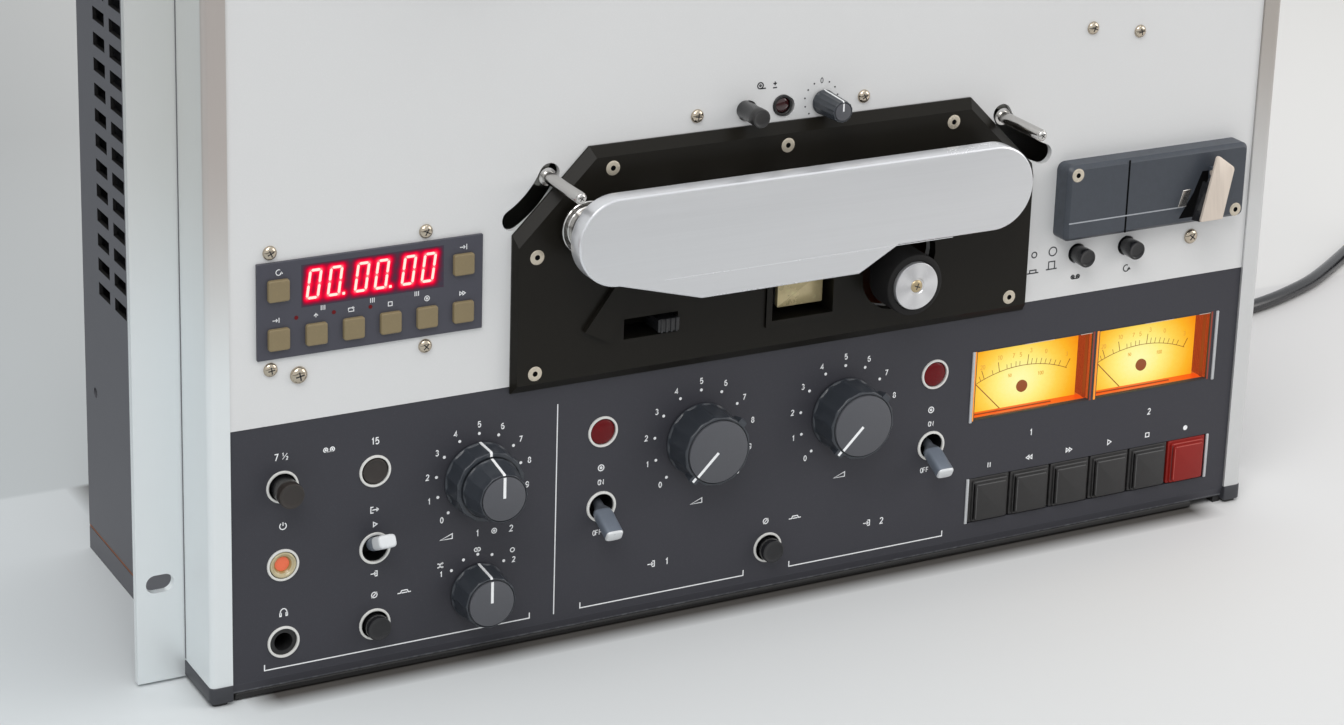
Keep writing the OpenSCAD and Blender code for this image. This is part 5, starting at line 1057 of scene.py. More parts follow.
s = counterSet
segments = [bar for x0 in s["digits"] for bar in zeroSegments(x0)]
pointSpots = [np.array([s["digits"][k] + s["width"] + 0.15, s["low"] + 0.5]) for k in s["points"]]
wx0, wx1, wz0, wz1 = s["window"]
xs, zs = np.arange(wx0, wx1 + 0.01, s["step"]), np.arange(wz0, wz1 + 0.01, s["step"])
xs[-1], zs[-1] = wx1, wz1
gx, gz = np.meshgrid(xs, zs)
near = np.full(gx.shape, np.inf)
glow = np.zeros(gx.shape)
for p, q in segments + [(c, c + [0.01, 0.0]) for c in pointSpots]:
    # distance from a point to the centre line of a segment, and light that falls off with it
    d = q - p
    t = np.clip(((gx - p[0]) * d[0] + (gz - p[1]) * d[1]) / (d @ d), 0, 1)
    dist = np.hypot(gx - p[0] - t * d[0], gz - p[1] - t * d[1])
    near = np.minimum(near, dist)
    glow += s["halo"][0] * np.exp(-(dist / s["halo"][1]) ** 2)
rim = np.minimum(np.minimum(gx - wx0, wx1 - gx), np.minimum(gz - wz0, wz1 - gz))
core = s["core"][0] * np.exp(-(near / s["core"][1]) ** 2)
glow = np.clip(glow + core, 0, 1) * np.clip(rim / s["rim"], 0, 1)


def glowMaterial(name, stops):
    # the attribute "glow", with a slight grain, runs over the ramp
    mat, tree, shader = blankMaterial(name)
    field = node(tree, "Attribute", attribute_name="glow")["Fac"]
    grain = node(tree, "TexNoise", Vector=objectPoint(tree), Scale=700.0, Detail=2.0)["Fac"]
    ramp = tree.nodes.new("ShaderNodeValToRGB")
    fill(tree, ramp, {"Fac": sums(tree, "ADD", field, ranged(tree, grain, 0.3, 0.7, -0.015, 0.015))})
    for end in (0, -1):
        ramp.color_ramp.elements[end].position, ramp.color_ramp.elements[end].color = stops[end]
    for at, color in stops[1:-1]:
        ramp.color_ramp.elements.new(at).color = color
    fill(tree, shader,
         {"Base Color": (0.01, 0.004, 0.005, 1), "Emission Color": ramp.outputs[0], "Roughness": 0.3,
          "Emission Strength": 1.0, "Specular IOR Level": 0.0})
    return mat


def litMaterial(name, color, emission, strength=1.0, **finish):
    mat = material(name, color, **finish)
    fill(mat.node_tree, mat.node_tree.nodes["Principled BSDF"],
         {"Emission Color": emission, "Emission Strength": strength})
    return mat


def glowSheet(name, x, y, z, field, look):
    # a flat grid of points that carries its brightness
    sheet = sheetShell(np.stack([x, np.full(x.shape, y), z], -1))
    build(name, [sheet], [look], glow=field)


paint["digitGlow"] = glowMaterial("digitGlow",
                                  [(0.0, rgb(62, 58, 70)), (0.06, rgb(92, 38, 58)), (0.2, rgb(150, 12, 52)),
                                   (0.42, rgb(232, 0, 46)), (0.62, rgb(255, 4, 62)), (0.8, rgb(255, 60, 92)),
                                   (1.0, rgb(255, 150, 140))])
paint["digitCore"] = litMaterial("digitCore", rgb(30, 10, 10), rgb(255, 240, 224), rough=(0.5, 0.6),
                                 grain=2500.0, contrast=0.08, speckle=0.0, bump=0.0)
glowSheet("digitGlow", gx, s["front"] - 0.02, gz, glow, "digitGlow")
shells = [shell for p, q in segments for shell in segmentShell(p, q, s["bar"] * 0.92, s["front"] - 0.04)]
for x, z in pointSpots:
    point = rectangle(x - 0.5, x + 0.5, z - 0.5, z + 0.5, 0.25, 3)
    shells += swept(point, [(0, s["front"] + 0.06), (0, s["front"] - 0.06)])
build("digitCores", shells, ["digitCore"])
plate = rectangle(s["x0"], s["x1"], s["z0"], s["z1"], 0.25, 3)
shells = swept(plate, [(0, 1.2), (0, s["front"] + 0.15), (0.15, s["front"])])
counterMarks = [("goto", -128.3, 158.7, 2.0), ("loop", -197.3, 158.9, 2.0), ("bars", -181.2, 143.9, 1.7),
                ("bars", -162.9, 143.9, 1.7), ("bars", -146.2, 143.9, 1.7), ("goto", -198.2, 141.6, 1.8),
                ("up", -183.8, 141.6, 1.8), ("repeat", -170.9, 141.6, 1.8), ("stop", -156.2, 141.6, 1.6),
                ("ring", -142.3, 141.6, 1.8), ("on", -128.7, 141.6, 1.7)]
marks = []
for kind, x, z, size in counterMarks:
    marks += mark(signs[kind], (x, z), size, 0.26, y=s["front"], slot=1)
for x in (-191.0, -177.2, -163.6):
    marks += dot((x, 141.6), 0.75, s["front"], slot=2)
build("counterBezel", shells + marks, ["counter", "white", "lens"], replaces=("counter_module",))
print("counter lit")

# Level meters: a lit card behind an amber case, scale, needle and the clear cover's edges
meterSet = {"x": 90.2, "pitch": 57.4, "width": 54.6, "z0": 56.6, "z1": 85.6, "card": 9.8, "back": 13.0,
            "dot": (27.9, 63.9), "arc": (28.8, 19.3, 52.8), "pivot": (27.3, 46.6), "low": 47.0, "high": 87.5,
            "bright": (27.5, 66.0), "step": 1.3, "wider": 1.15, "fade": 30.0, "power": 1.5}


def cardField():
    # brightness falls off from the lamp behind the dot: 1 - (d / fade)^power, wider than high
    m = meterSet
    columns = np.arange(0, m["width"] + 0.01, m["step"])
    gx, gz = np.meshgrid(columns, np.arange(m["low"] + 1.2, m["z1"] + 0.01, m["step"]))
    d = np.hypot((gx - m["bright"][0]) / m["wider"], gz - m["bright"][1])
    return gx, gz, np.clip(1 - (d / m["fade"]) ** m["power"], 0, 1)


paint["cardGlow"] = glowMaterial("cardGlow",
                                 [(0.0, rgb(236, 118, 18)), (0.18, rgb(250, 150, 24)),
                                  (0.4, rgb(253, 182, 42)), (0.62, rgb(254, 212, 82)),
                                  (0.82, rgb(254, 240, 132)), (1.0, rgb(254, 252, 176))])

# Looks that shine by themselves: painted light from the lamp behind the card, on the amber walls with a
# darker painted-shade copy and a paler lit copy, and on the scale ink and the needle: name, colour, light and
# its strength
meterLooks = {"amber": ("amberWall", rgb(60, 22, 10), rgb(200, 88, 38), 1.0),
              "amberRed": ("amberFoot", rgb(90, 24, 10), rgb(228, 78, 18), 1.0),
              "amberDark": ("amberShade", rgb(50, 16, 10), rgb(140, 50, 26), 0.9),
              "amberPale": ("amberPale", rgb(90, 50, 14), rgb(248, 150, 34), 1.0),
              "scale": ("scaleInk", rgb(60, 26, 10), rgb(150, 76, 24), 0.8),
              "faint": ("faintInk", rgb(90, 50, 20), rgb(226, 160, 52), 0.95),
              "needle": ("needleLacquer", rgb(60, 26, 14), rgb(150, 66, 22), 0.75)}
for key, values in meterLooks.items():
    paint[key] = litMaterial(*values, rough=(0.3, 0.4), grain=260.0, cloud=60.0, contrast=0.25, bump=0.0)
# painted glints on the edges of the meters' clear covers
paint["clear"] = material("clearEdgeGlint", rgb(210, 190, 178), (0.05, 0.12), grain=500.0, contrast=0.2, bump=0.01)
caseLooks = ["amber", "amberRed", "amberDark", "black", "scale", "faint", "clear", "amberPale"]


def caseShells(x0, x1):
    # the case round the card; the slots are those of caseLooks
    m = meterSet
    low, high, z0, z1, card = (m[key] for key in ("low", "high", "z0", "z1", "card"))
    boxes = [(x0 - 0.8, x1 + 0.8, card, m["back"], low, high, 3),
             (x1 - 0.1, x1 + 0.75, -0.12, card, z0, z1, 2), (x1 - 0.1, x1 + 0.9, 0.6, card, low, high, 0),
             (x0 - 0.9, x0 + 0.1, 0.6, card, low, high, 0),
             (x1 - 0.3, x1 + 0.05, 2.6, 4.6, low, high - 1, 2), (x0, x1, 0.6, card, z1 - 0.1, high, 3),
             (x0, x1, 0.6, card, low, low + 1.3, 1)]
    # the case's lower edge: a lit foot strip with a dark line over it; the strip is painted reflection of the
    # lamp's glow in the case's lower wall, the dark line painted shade
    boxes += [(x0, x1, 0.7, 7.7, 55.4, z0 - 0.1, 1), (x0 + 3, x0 + 40, 5.2, 5.8, z0 - 0.2, z0 + 0.15, 2),
              (x0 + 8, x1, 2.4, 3.0, z0 - 0.2, z0 + 0.1, 0),
              (x0 + 10, x0 + 36, 1.2, 1.7, z0 - 0.2, z0 + 0.4, 0)]
    # clear cover: a black frame, two painted glints on its top edge and the left edge lit by painted light
    frameRows = [(0.0, 0.55), (0.0, -0.15), (0.28, -0.15), (0.28, 0.55)]
    cover = swept(rectangle(x0 + 0.05, x1 - 0.05, z0 + 0.05, z1 - 0.05, 0.3, 3), frameRows, 3, (False, False))
    edges = [(x0 + 22, x0 + 36, -0.22, 0.4, z1 - 0.42, z1 - 0.2, 6),
             (x0 + 48.5, x0 + 54, -0.22, 0.4, z1 - 0.42, z1 - 0.16, 6),
             (x0 - 0.85, x0 + 0.05, -0.1, 0.4, z0, z1 - 0.1, 7)]
    return [boxShell(*box) for box in boxes] + cover + [boxShell(*edge) for edge in edges]


# Scale: {dx of a tick from the arc's middle: length}, and numbers as (text, dx, dz over the arc)
scaleSet = {"ticks": {-22.6: 4.0, -19.6: 2.2, -18.0: 4.0, -14.0: 2.0, -11.0: 4.2, -7.5: 2.0, -5.6: 2.0,
                      -3.4: 2.2, -1.6: 2.0, 2.0: 4.2, 3.9: 2.4, 6.0: 2.4, 8.2: 2.4, 10.3: 2.2, 12.5: 2.2,
                      14.8: 2.2, 17.0: 2.2, 20.5: 4.0},
            "numbers": [("20", -19, 5.5), ("10", -11.2, 6.0), ("7", -4.8, 4.9), ("5", -1.4, 4.7),
                        ("3", 3.4, 5.9),
                        ("0", 10.6, 5.4), ("3", 20.6, 5.8)]}


def scaleShells(x0):
    m = meterSet
    cx, cz, r = x0 + m["arc"][0], m["arc"][1], m["arc"][2]
    y = m["card"] - 0.06
    shells = stroke(arc(cx, cz, r, r, 114.5, 66.5, 33), 0.24, y, slot=4)
    for dx, long in scaleSet["ticks"].items():
        foot = np.array([cx + dx, cz + math.sqrt(r * r - dx * dx)])
        way = foot - [x0 + m["pivot"][0], m["pivot"][1] - 20]
        way /= np.linalg.norm(way)
        shells += stroke([foot, foot + way * long], 0.2 if long < 3 else 0.26, y, slot=4)
    for text, dx, dz in scaleSet["numbers"]:
        shells += number(text, (cx + dx, cz + math.sqrt(r * r - dx * dx) + dz), 1.7, 0.22, y, 5)
    shells += number("50", (cx - 6, cz + r - 3.4), 1.2, 0.2, y, 5)
    shells += number("100", (cx + 8.6, cz + r - 4.6), 1.4, 0.22, y, 5)
    return shells + dot((x0 + m["dot"][0], m["dot"][1]), 2.5, y - 1.0, 4, steps=28, rise=0.5)


def needleShells(hub):
    # a thin blade from the hub to 30 mm, at rest 45 degrees to the left
    way = np.array([-1, 1]) / math.sqrt(2)
    blade = stroke([hub + way * 1.5, hub + way * 30.0], 0.34, 8.2, slot=0, rise=0.2)
    return blade + [turned(hub, [(0, 9.2), (2.2, 9.2), (2.2, 7.9), (0, 7.7)], 24, 0)]


for k, name in enumerate(("One", "Two")):
    m = meterSet
    x0 = m["x"] + m["pitch"] * k
    gx, gz, field = cardField()
    glowSheet("meterCard" + name, gx + x0, m["card"] - 0.05, gz, field, "cardGlow")
    build("meterCase" + name, caseShells(x0, x0 + m["width"]) + scaleShells(x0), caseLooks,
          replaces=("vu_meters",))
    hub = np.array([x0 + m["pivot"][0], m["pivot"][1]])
    build("meterNeedle" + name, needleShells(hub), ["needle"], "meter_needle_" + name.lower())
print("meters lit")

# Panel fittings: enamel rings, sleeves, lamps, buttons, toggles and the pale bars
ringSet = {"r": 6.05, "out": 0.55, "sleeve": 5.6, "phones": (-196, 20), "lamp": (-1.4, 195.6),
           "wells": [(-196, 79.2), (-161.2, 79.2), (-196, 49.6), (-161.2, 20), (0, 20)],
           "toggles": [(-161.2, 49.6), (-71.4, 49.6), (71.4, 49.6)], "lamps": [(-71.4, 79.2), (71.4, 79.2)],
           "bars": [(88.3, 89.45, 56.1, 85.6), (204.5, 205.7, 56.1, 85.6), (88.9, 90.05, 13.4, 32.3),
                    (204.5, 205.65, 13.4, 32.3)]}


def ringShells(at, bore=5.1, deep=24.0):
    # an enamel ring on the panel and the dark sleeve behind it
    r, o, sleeve = ringSet["r"], ringSet["out"], ringSet["sleeve"]
    rows = [(bore, 0.3), (bore, -o + 0.2), (bore + 0.08, -o + 0.05), (bore + 0.22, -o), (r - 0.4, -o),
            (r - 0.16, -o + 0.07), (r - 0.05, -o + 0.22), (r, 0.1), (r, 0.3), (bore, 0.3)]
    well = [(bore + 0.02, 0.1), (bore + 0.02, deep), (0, deep), (0, deep + 1), (sleeve, deep + 1),
            (sleeve, 0.1), (bore + 0.02, 0.1)]
    return [turned(at, rows, 56, 0), turned(at, well, 40, 1)]


def domeShells(at, r, back, rim, rise, slot, steps=40, smooth=True):
    # a cap that rises from the rim at y = rim to y = rim - rise at the middle
    a = np.radians(np.linspace(0, 90, 7))
    rows = [(0, back), (r, back)] + [(r * math.cos(t), rim - rise * math.sin(t)) for t in a]
    return [turned(at, rows, steps, slot)[:3] + (smooth,)]


def bezelShells(at, inside, outside, out, slot):
    rows = [(inside, 1.0), (inside, -out + 0.15), (inside + 0.15, -out), (outside - 0.2, -out),
            (outside, -out + 0.25), (outside, 0.3), (inside, 1.0)]
    return [turned(at, rows, 44, slot)]


fittings = []
for at in ringSet["wells"]:
    fittings += ringShells(at)
for at in ringSet["toggles"]:
    fittings += ringShells(at, 5.0, 9.0)
at = ringSet["phones"]
bush = [(3.3, 24), (3.3, 0.4), (3.45, 0.1), (5.12, 0.3), (5.12, 2.0), (3.6, 24), (3.3, 24)]
fittings += ringShells(at, 5.1, 26.0) + [turned(at, bush, 40, 1)]
for at in ringSet["lamps"]:
    fittings += ringShells(at, 5.1, 6.0) + domeShells(at, 5.0, 4.0, 0.4, 1.1, 2)
at = ringSet["lamp"]
fittings += domeShells(at, 3.1, 3.0, 0.3, 0.9, 4, 9, False) + bezelShells(at, 3.0, 4.0, 0.7, 1)
for bar in ringSet["bars"]:
    fittings += slab(*bar, 0.3, -0.6, 0.22, 0.15, 3)
build("panelFittings", fittings, ["ring", "socket", "lens", "barWhite", "darkLens"],
      replaces=("panel_fittings",))


def buttonShells(at, r, reach):
    # glossy stem, a cap with a small edge radius and a slightly hollow face
    waist, back = -reach + 3.4, 9.0
    cap = [(r - 0.12, waist + 0.3), (r, waist), (r, -reach + 0.45), (r - 0.1, -reach + 0.15),
           (r - 0.36, -reach), (r - 0.62, -reach + 0.02), (r - 0.9, -reach + 0.22), (r * 0.5, -reach + 0.3),
           (0, -reach + 0.34)]
    stem = [(0, back), (r - 0.5, back), (r - 0.12, back - 0.4), (r - 0.12, waist + 0.3)]
    return [turned(at, stem, 40, 1), turned(at, cap, 40, 0)]


# Buttons: centre, radius, how far they stand out and the look of the cap
buttonSet = {"slow_speed_button": ((-196, 79.2), 4.7, 9.4, "speedCap"),
             "fast_speed_button": ((-161.2, 79.2), 4.7, 0.5, "speedCap"),
             "output_uncal_button": ((-161.2, 20), 4.5, 5.0, "gloss"),
             "input_uncal_button": ((0, 20), 4.5, 5.0, "gloss"),
             "reel_size_button": ((134, 120), 3.7, 7.5, "gloss"),
             "tape_dump_button": ((157.4, 120), 3.7, 7.5, "gloss"),
             "varispeed_button": ((-17.0, 195.7), 3.55, 12.8, "key")}
for name, (at, r, reach, look) in buttonSet.items():
    build(capName(name) + "Cap", buttonShells(at, r, reach), [look, "stemBlack"], name, crease=40)

# Power button: a cream rim that funnels in to an orange lamp behind the panel face
at = ringSet["wells"][2]
rim = [(0, 9), (4.8, 9), (4.8, -0.35), (4.7, -0.52), (4.5, -0.6), (4.2, -0.58), (3.95, -0.4), (3.8, -0.1),
       (3.5, 0.0), (3.3, 0.12)]
funnel = [(3.3, 0.12), (3.2, 0.3), (3.0, 0.4), (2.85, 0.55), (2.75, 0.75), (2.65, 0.95)]
lamp = [(2.67, 1.1), (2.65, 0.9), (2.4, 0.82), (1.5, 0.78), (0, 0.76)]
build("powerButtonCap", [turned(at, rim, 48, 0), turned(at, funnel, 48, 2), turned(at, lamp, 32, 1)],
      ["cream", "orange", "amberGlass"], "power_button", crease=60)

# Toggles: a round stem that opens into a flat bar of one width with a polished end
# Each toggle: x, tilt in degrees, the look of the tip and how long that tip is
toggleSet = {"output_toggle": (-161.2, 27.0, "whiteTip", 6.8),
             "ready_toggle_one": (-71.4, -27.0, "tipEnd", 0.9),
             "ready_toggle_two": (71.4, -27.0, "tipEnd", 0.9)}
barSet = {"pivot": 3.0, "z": 49.6, "wide": 3.45, "neck": 2.0, "thick": 2.45, "tip": 16.5, "count": 40}


def barRing(x, y, w, h, power):
    # superellipse |x / w|^n + |z / h|^n = 1 with n = 2 / power
    a = np.linspace(0, 2 * np.pi, barSet["count"], endpoint=False)
    c, s = np.cos(a), np.sin(a)
    across, up = w * np.sign(c) * np.abs(c) ** power, h * np.sign(s) * np.abs(s) ** power
    return np.column_stack([x + across, np.full(len(a), y), barSet["z"] + up])


def toggleShells(x, ending):
    b = barSet
    front, w, h = b["pivot"] - b["tip"], b["wide"], b["thick"]
    stemRows = [(4.2, 1.6, 1.6), (3.0, 1.9, 1.9), (1.0, 2.0, 1.8), (0.2, 2.5, 1.7), (-0.6, 3.2, 1.85),
                (-1.2, w, b["neck"])]
    stem = np.array([barRing(x, y, a, c, 1.0 if y > 0.5 else 0.6) for y, a, c in stemRows])
    barRows = [(-1.2, w, b["neck"]), (-3.2, w, h), (front + ending + 0.3, w, h),
               (front + ending, w - 0.03, h - 0.03)]
    bar = np.array([barRing(x, y, a, c, 0.5 if y < -1.5 else 0.6) for y, a, c in barRows])
    tipRows = [(front + ending, w - 0.03, h - 0.03), (front + 0.8, w - 0.03, h - 0.03),
               (front + 0.45, w - 0.14, h - 0.14), (front + 0.12, w - 0.4, h - 0.42),
               (front, w - 0.8, h - 0.8)]
    point = np.array([barRing(x, y, a, c, 0.5) for y, a, c in tipRows])
    end = list(range(b["count"]))
    return [sheetShell(stem, True, 0), sheetShell(bar, True, 1), sheetShell(point, True, 2),
            (stem[0], [end], 0, False), (point[-1], [end], 2, False)]


for name, (x, tilt, tip, ending) in toggleSet.items():
    pivot = (x, barSet["pivot"], barSet["z"])
    shells = [moved(shell, turn=aboutX(-tilt), about=pivot) for shell in toggleShells(x, ending)]
    build(capName(name) + "Lever", shells, ["stem", "blueTip", tip], name, crease=35)
print("fittings made")

# Head cover: a satin face with a bright bevel, a polished rim above and the bent-back lip below
hoodSet = {"end": 78.3, "mid": 160.6, "r": 16.4, "lip": 134.9, "lipX": (-44.8, 20.6), "joinX": 36.6,
           "front": -24.0, "rim": -17.0, "wall": 1.6, "bevel": 0.75, "bend": 0.055, "rimLow": (147.0, 156.6),
           "hinge": 137.5, "fold": 144.2}


def hoodOutline():
    # two half circles joined by straight lines, the lower one broken by the lip
    h = hoodSet
    right = arc(h["end"], h["mid"], h["r"], h["r"], -90, 90, 33)
    left = arc(-h["end"], h["mid"], h["r"], h["r"], 90, 270, 33)
    top = np.column_stack([np.linspace(h["end"], -h["end"], 14)[1:-1], np.full(12, h["mid"] + h["r"])])
    lip = [(h["lipX"][0], h["lip"]), (h["lipX"][1], h["lip"]), (h["joinX"], h["mid"] - h["r"])]
    return np.vstack([right, top, left, lip])


def hoodShells():
    h = hoodSet
    outline = hoodOutline()
    m = len(outline)
    back = h["front"] + h["wall"]
    rows = [(h["wall"], back), (h["wall"], h["rim"]), (0.12, h["rim"]), (0, h["rim"] - 0.12),
            (0, h["front"] + h["bevel"]), (0.12, h["front"] + h["bevel"] * 0.55),
            (h["bevel"] * 0.8, h["front"] + 0.03), (h["bevel"], h["front"])]
    points, faces = swept(outline, rows, 1, (False, False))[0][:2]
    # no rim along the underside: its rows draw up to the back of the face
    low = np.where(outline[:, 0] < 0, h["rimLow"][0], h["rimLow"][1])
    bare = np.tile(outline[:, 1] < low, len(rows))
    points[bare, 1] = np.minimum(points[bare, 1], back)
    # the lip leans back below the fold
    fold = h["mid"] - h["r"]
    points[:, 1] += h["bend"] * np.clip(fold - points[:, 2], 0, None)
    # the face in two parts: above the fold, and the lip between the outline's last four points
    front = list(range(len(rows) * m - m, len(rows) * m))
    upper, lip = [front[-1]] + front[:m - 3], front[-4:]
    return [(points, faces, 1, True), (points, [upper], 0, False), (points, [lip], 0, False),
            (points[:m], [list(range(m))], 1, False)]


def hingeShells(x0, x1):
    # hinge lug behind the lip with its barrel and the pin that runs into the ear beside it
    z, y = hoodSet["hinge"], hoodSet["rim"]
    return [boxShell(x0, x1, hoodSet["front"] + 1.9, y, z - 2, z + 3, 1),
            turnedX(x0, x1, (y, z), 2.4, 1), turnedX(x1 - 0.5, x1 + 8.8, (y, z), 1.5, 1)]


def turnedX(x0, x1, at, r, slot):
    # a rod along X with bevelled ends
    a = np.linspace(0, 2 * np.pi, 24, endpoint=False)
    rows = [(x0, 0), (x0, r - 0.2), (x0 + 0.2, r), (x1 - 0.2, r), (x1, r - 0.2), (x1, 0)]
    rings = [np.column_stack([np.full(len(a), x), at[0] + q * np.cos(a), at[1] + q * np.sin(a)])
             for x, q in rows]
    return sheetShell(np.stack(rings), True, slot)


paint["hoodFace"] = material("hoodFace", rgb(212, 213, 215), (0.36, 0.44), 0.6, contrast=0.03,
                             brushed=(14.0, 900.0, 900.0), bump=0.015)
paint["hoodEdge"] = material("hoodEdge", rgb(226, 227, 230), (0.2, 0.3), 0.5, bump=0.01)
# painted highlight: a pale line along the fold where the lip bends back
creaseHighlight = stroke([(-60.0, hoodSet["fold"]), (60.0, hoodSet["fold"])], 0.22, hoodSet["front"], slot=1,
                    rise=0.02)
build("headCoverPlate", hoodShells() + creaseHighlight + hingeShells(-41, -36) + hingeShells(12, 17),
      ["hoodFace", "hoodEdge"], "head_cover", crease=28)

# Pinch roller: rubber tyre, shallow face and a lathe-turned cap with a cross-headed screw
rollerSet = {"at": (48.2, 125.0), "r": 12.0, "back": -5.0, "front": -18.4, "cap": 9.2, "capT": 1.4}


def screwHead(at, r, y, dome, slot=0, drive=1, turn=20.0):
    # domed head with a cross recess, drawn as two dark bars of painted shade
    front = y - dome
    rows = [(r * 0.98, y + 0.4), (r, y - 0.05), (r * 0.96, y - dome * 0.35), (r * 0.8, y - dome * 0.72),
            (r * 0.55, y - dome * 0.93), (r * 0.3, front), (0, front)]
    shells = [turned(at, rows, 24, slot)]
    for angle in (turn, turn + 90):
        arm = np.subtract(onCircle(at, r * 0.5, angle), at)
        shells += stroke([at - arm, at + arm], r * 0.17, front + 0.02, slot=drive, rise=0.06)
    return shells


p = rollerSet
front, capFront = p["front"], p["front"] - p["capT"]
sideRows = [(0, p["back"]), (p["r"] - 0.5, p["back"]), (p["r"], p["back"] - 0.5), (p["r"], front + 0.9),
            (p["r"] - 0.25, front + 0.3), (p["r"] - 0.8, front), (p["cap"] + 0.5, front),
            (p["cap"] + 0.2, front + 0.4),
            (0, front + 0.4)]
tyre = [turned(p["at"], sideRows, 96, 0)]
disc = [(p["cap"], front + 0.5), (p["cap"], capFront + 0.5), (p["cap"] - 0.12, capFront + 0.16),
        (p["cap"] - 0.5, capFront)]
# shallow turning marks in the cap
disc += [(r, capFront + 0.015 * (k % 2)) for k, r in enumerate(np.linspace(p["cap"] - 0.8, 3.2, 26))]
disc += [(3.0, capFront + 0.25), (0, capFront + 0.25)]
tyre += [turned(p["at"], disc, 96, 1)]
tyre += screwHead(p["at"], 2.5, capFront + 0.3, 0.7, 2, 3, turn=70)
paint["turnedCap"] = material("turnedCap", rgb(206, 206, 208), (0.26, 0.34), 0.7, bump=0.02)


def rayedLook(mat, at, dark, light):
    # painted highlight: two pairs of bright rays, as a lathe-turned face throws them in the light: sin(2 a +
    # 0.9) cos(3 a)
    tree, finish, axes, shader = lookOf(mat)
    across, above = (sums(tree, "SUBTRACT", axes[key], value / 1000) for key, value in zip("XZ", at))
    angle = sums(tree, "ARCTAN2", above, across)
    twice = sums(tree, "SINE", sums(tree, "MULTIPLY_ADD", angle, 2.0, 0.9))
    thrice = sums(tree, "COSINE", sums(tree, "MULTIPLY", angle, 3.0))
    share = ranged(tree, sums(tree, "MULTIPLY", twice, thrice), -0.9, 0.9)
    fill(tree, finish, {"Color": maskMix(tree, share, dark, light)})


rayedLook(paint["turnedCap"], rollerSet["at"], rgb(176, 176, 178), rgb(244, 244, 245))
build("pinchRollerTyre", tyre, ["rubber", "turnedCap", "brass", "black"], "pinch_roller")

# Guide roller: two polished flanges and a core, behind the left end of the cover
guideAt = (-83.1, 161.6)
rows = [(0, -5.0), (3.4, -5.0), (3.4, -6.4), (9.7, -6.4), (10.1, -6.7), (10.1, -7.5), (9.8, -7.8),
        (8.4, -7.9), (8.1, -8.2), (8.1, -14.6), (8.4, -14.9), (9.8, -15.0), (10.1, -15.3), (10.1, -16.0),
        (9.7, -16.3), (5.6, -16.3), (5.2, -16.0), (3.8, -16.0), (3.4, -16.7), (0, -16.7)]
build("guideRollerFlanges", [turned(guideAt, rows, 72, 0)], ["steel"], "guide_roller", crease=30)
print("head cover and rollers made")

# Screws of the deck, the head housing and the splicing block
screwSet = {"deck": [(-200.1, 165.9), (-142.4, 166.0), (-200.1, 123.5), (-142.4, 123.5), (-36.6, 195.5),
                     (33.1, 195.1), (134.2, 210.8), (156.3, 207.3), (188.5, 119.6)], "r": 2.6, "lastR": 3.1,
            "large": (-189.8, 120.0), "largeR": 3.2, "rise": 1.45, "largeRise": 1.8,
            "housing": [(-101.2, 151.9), (-72.0, 181.5), (-0.6, 181.4), (70.8, 181.9), (101.2, 151.9),
                        (100.7, 107.9), (-101.3, 107.9)], "flatR": 2.5, "face": -4.0}
heads = []
for k, at in enumerate(screwSet["deck"]):
    r = screwSet["lastR"] if at == screwSet["deck"][-1] else screwSet["r"]
    heads += screwHead(at, r, 0.0, screwSet["rise"], turn=25 + 37 * k)
heads += screwHead(screwSet["large"], screwSet["largeR"], 0.0, screwSet["largeRise"], turn=12)
build("deckScrews", heads, ["nickel", "black"], crease=50)


def countersunk(at, r, y, slot=0, drive=1):
    # flat head flush with the plate: a narrow dark seat, a bevelled rim and the six-sided socket
    front = y - 0.2
    rows = [(r + 0.25, y + 0.2), (r + 0.25, y - 0.02), (r + 0.05, y - 0.03), (r, y - 0.1), (r - 0.25, front),
            (1.25, front)]
    socket = [(1.25, front), (1.15, y - 0.05), (0, y - 0.05)]
    lip = [(1.27, front), (1.24, y - 0.21), (1.0, front)]
    return [turned(at, rows, 30, slot), turned(at, socket, 6, drive), turned(at, lip, 30, slot)]


heads = []
for at in screwSet["housing"]:
    heads += countersunk(at, screwSet["flatR"], screwSet["face"])
build("housingScrews", heads, ["creamScrew", "void"], crease=30)

# Window in the head housing: black frame and the cream piece behind it
windowSet = {"x0": -5.0, "x1": 21.0, "z0": 114.0, "z1": 130.0, "frame": 2.4, "out": 1.0, "face": -4.0}
w = windowSet
outer = rectangle(w["x0"] - w["frame"], w["x1"] + w["frame"], w["z0"] - w["frame"], w["z1"] + 2.0, 0.8, 4)
front = w["face"] - w["out"]
frameRows = [(0, w["face"] + 0.2), (0, front + 0.3), (0.25, front), (1.3, front + 0.1),
             (w["frame"] - 0.1, w["face"] + 1.5)]
shells = swept(outer, frameRows, 0, (False, False))
shine = rectangle(w["x0"] + 4.6, w["x1"] - 2.2, w["z0"] + 3.2, w["z1"] - 0.2, 0.4, 3)
shells += swept(shine, [(0, 1.2), (0, -0.6), (0.5, -0.9)], 1, (False, True))
paint["windowPiece"] = material("windowPiece", rgb(226, 208, 160), (0.2, 0.34), 0.25, grain=240.0,
                                cloud=90.0, contrast=0.35, speckle=0.2, bump=0.05)
build("headWindow", shells, ["black", "windowPiece"])

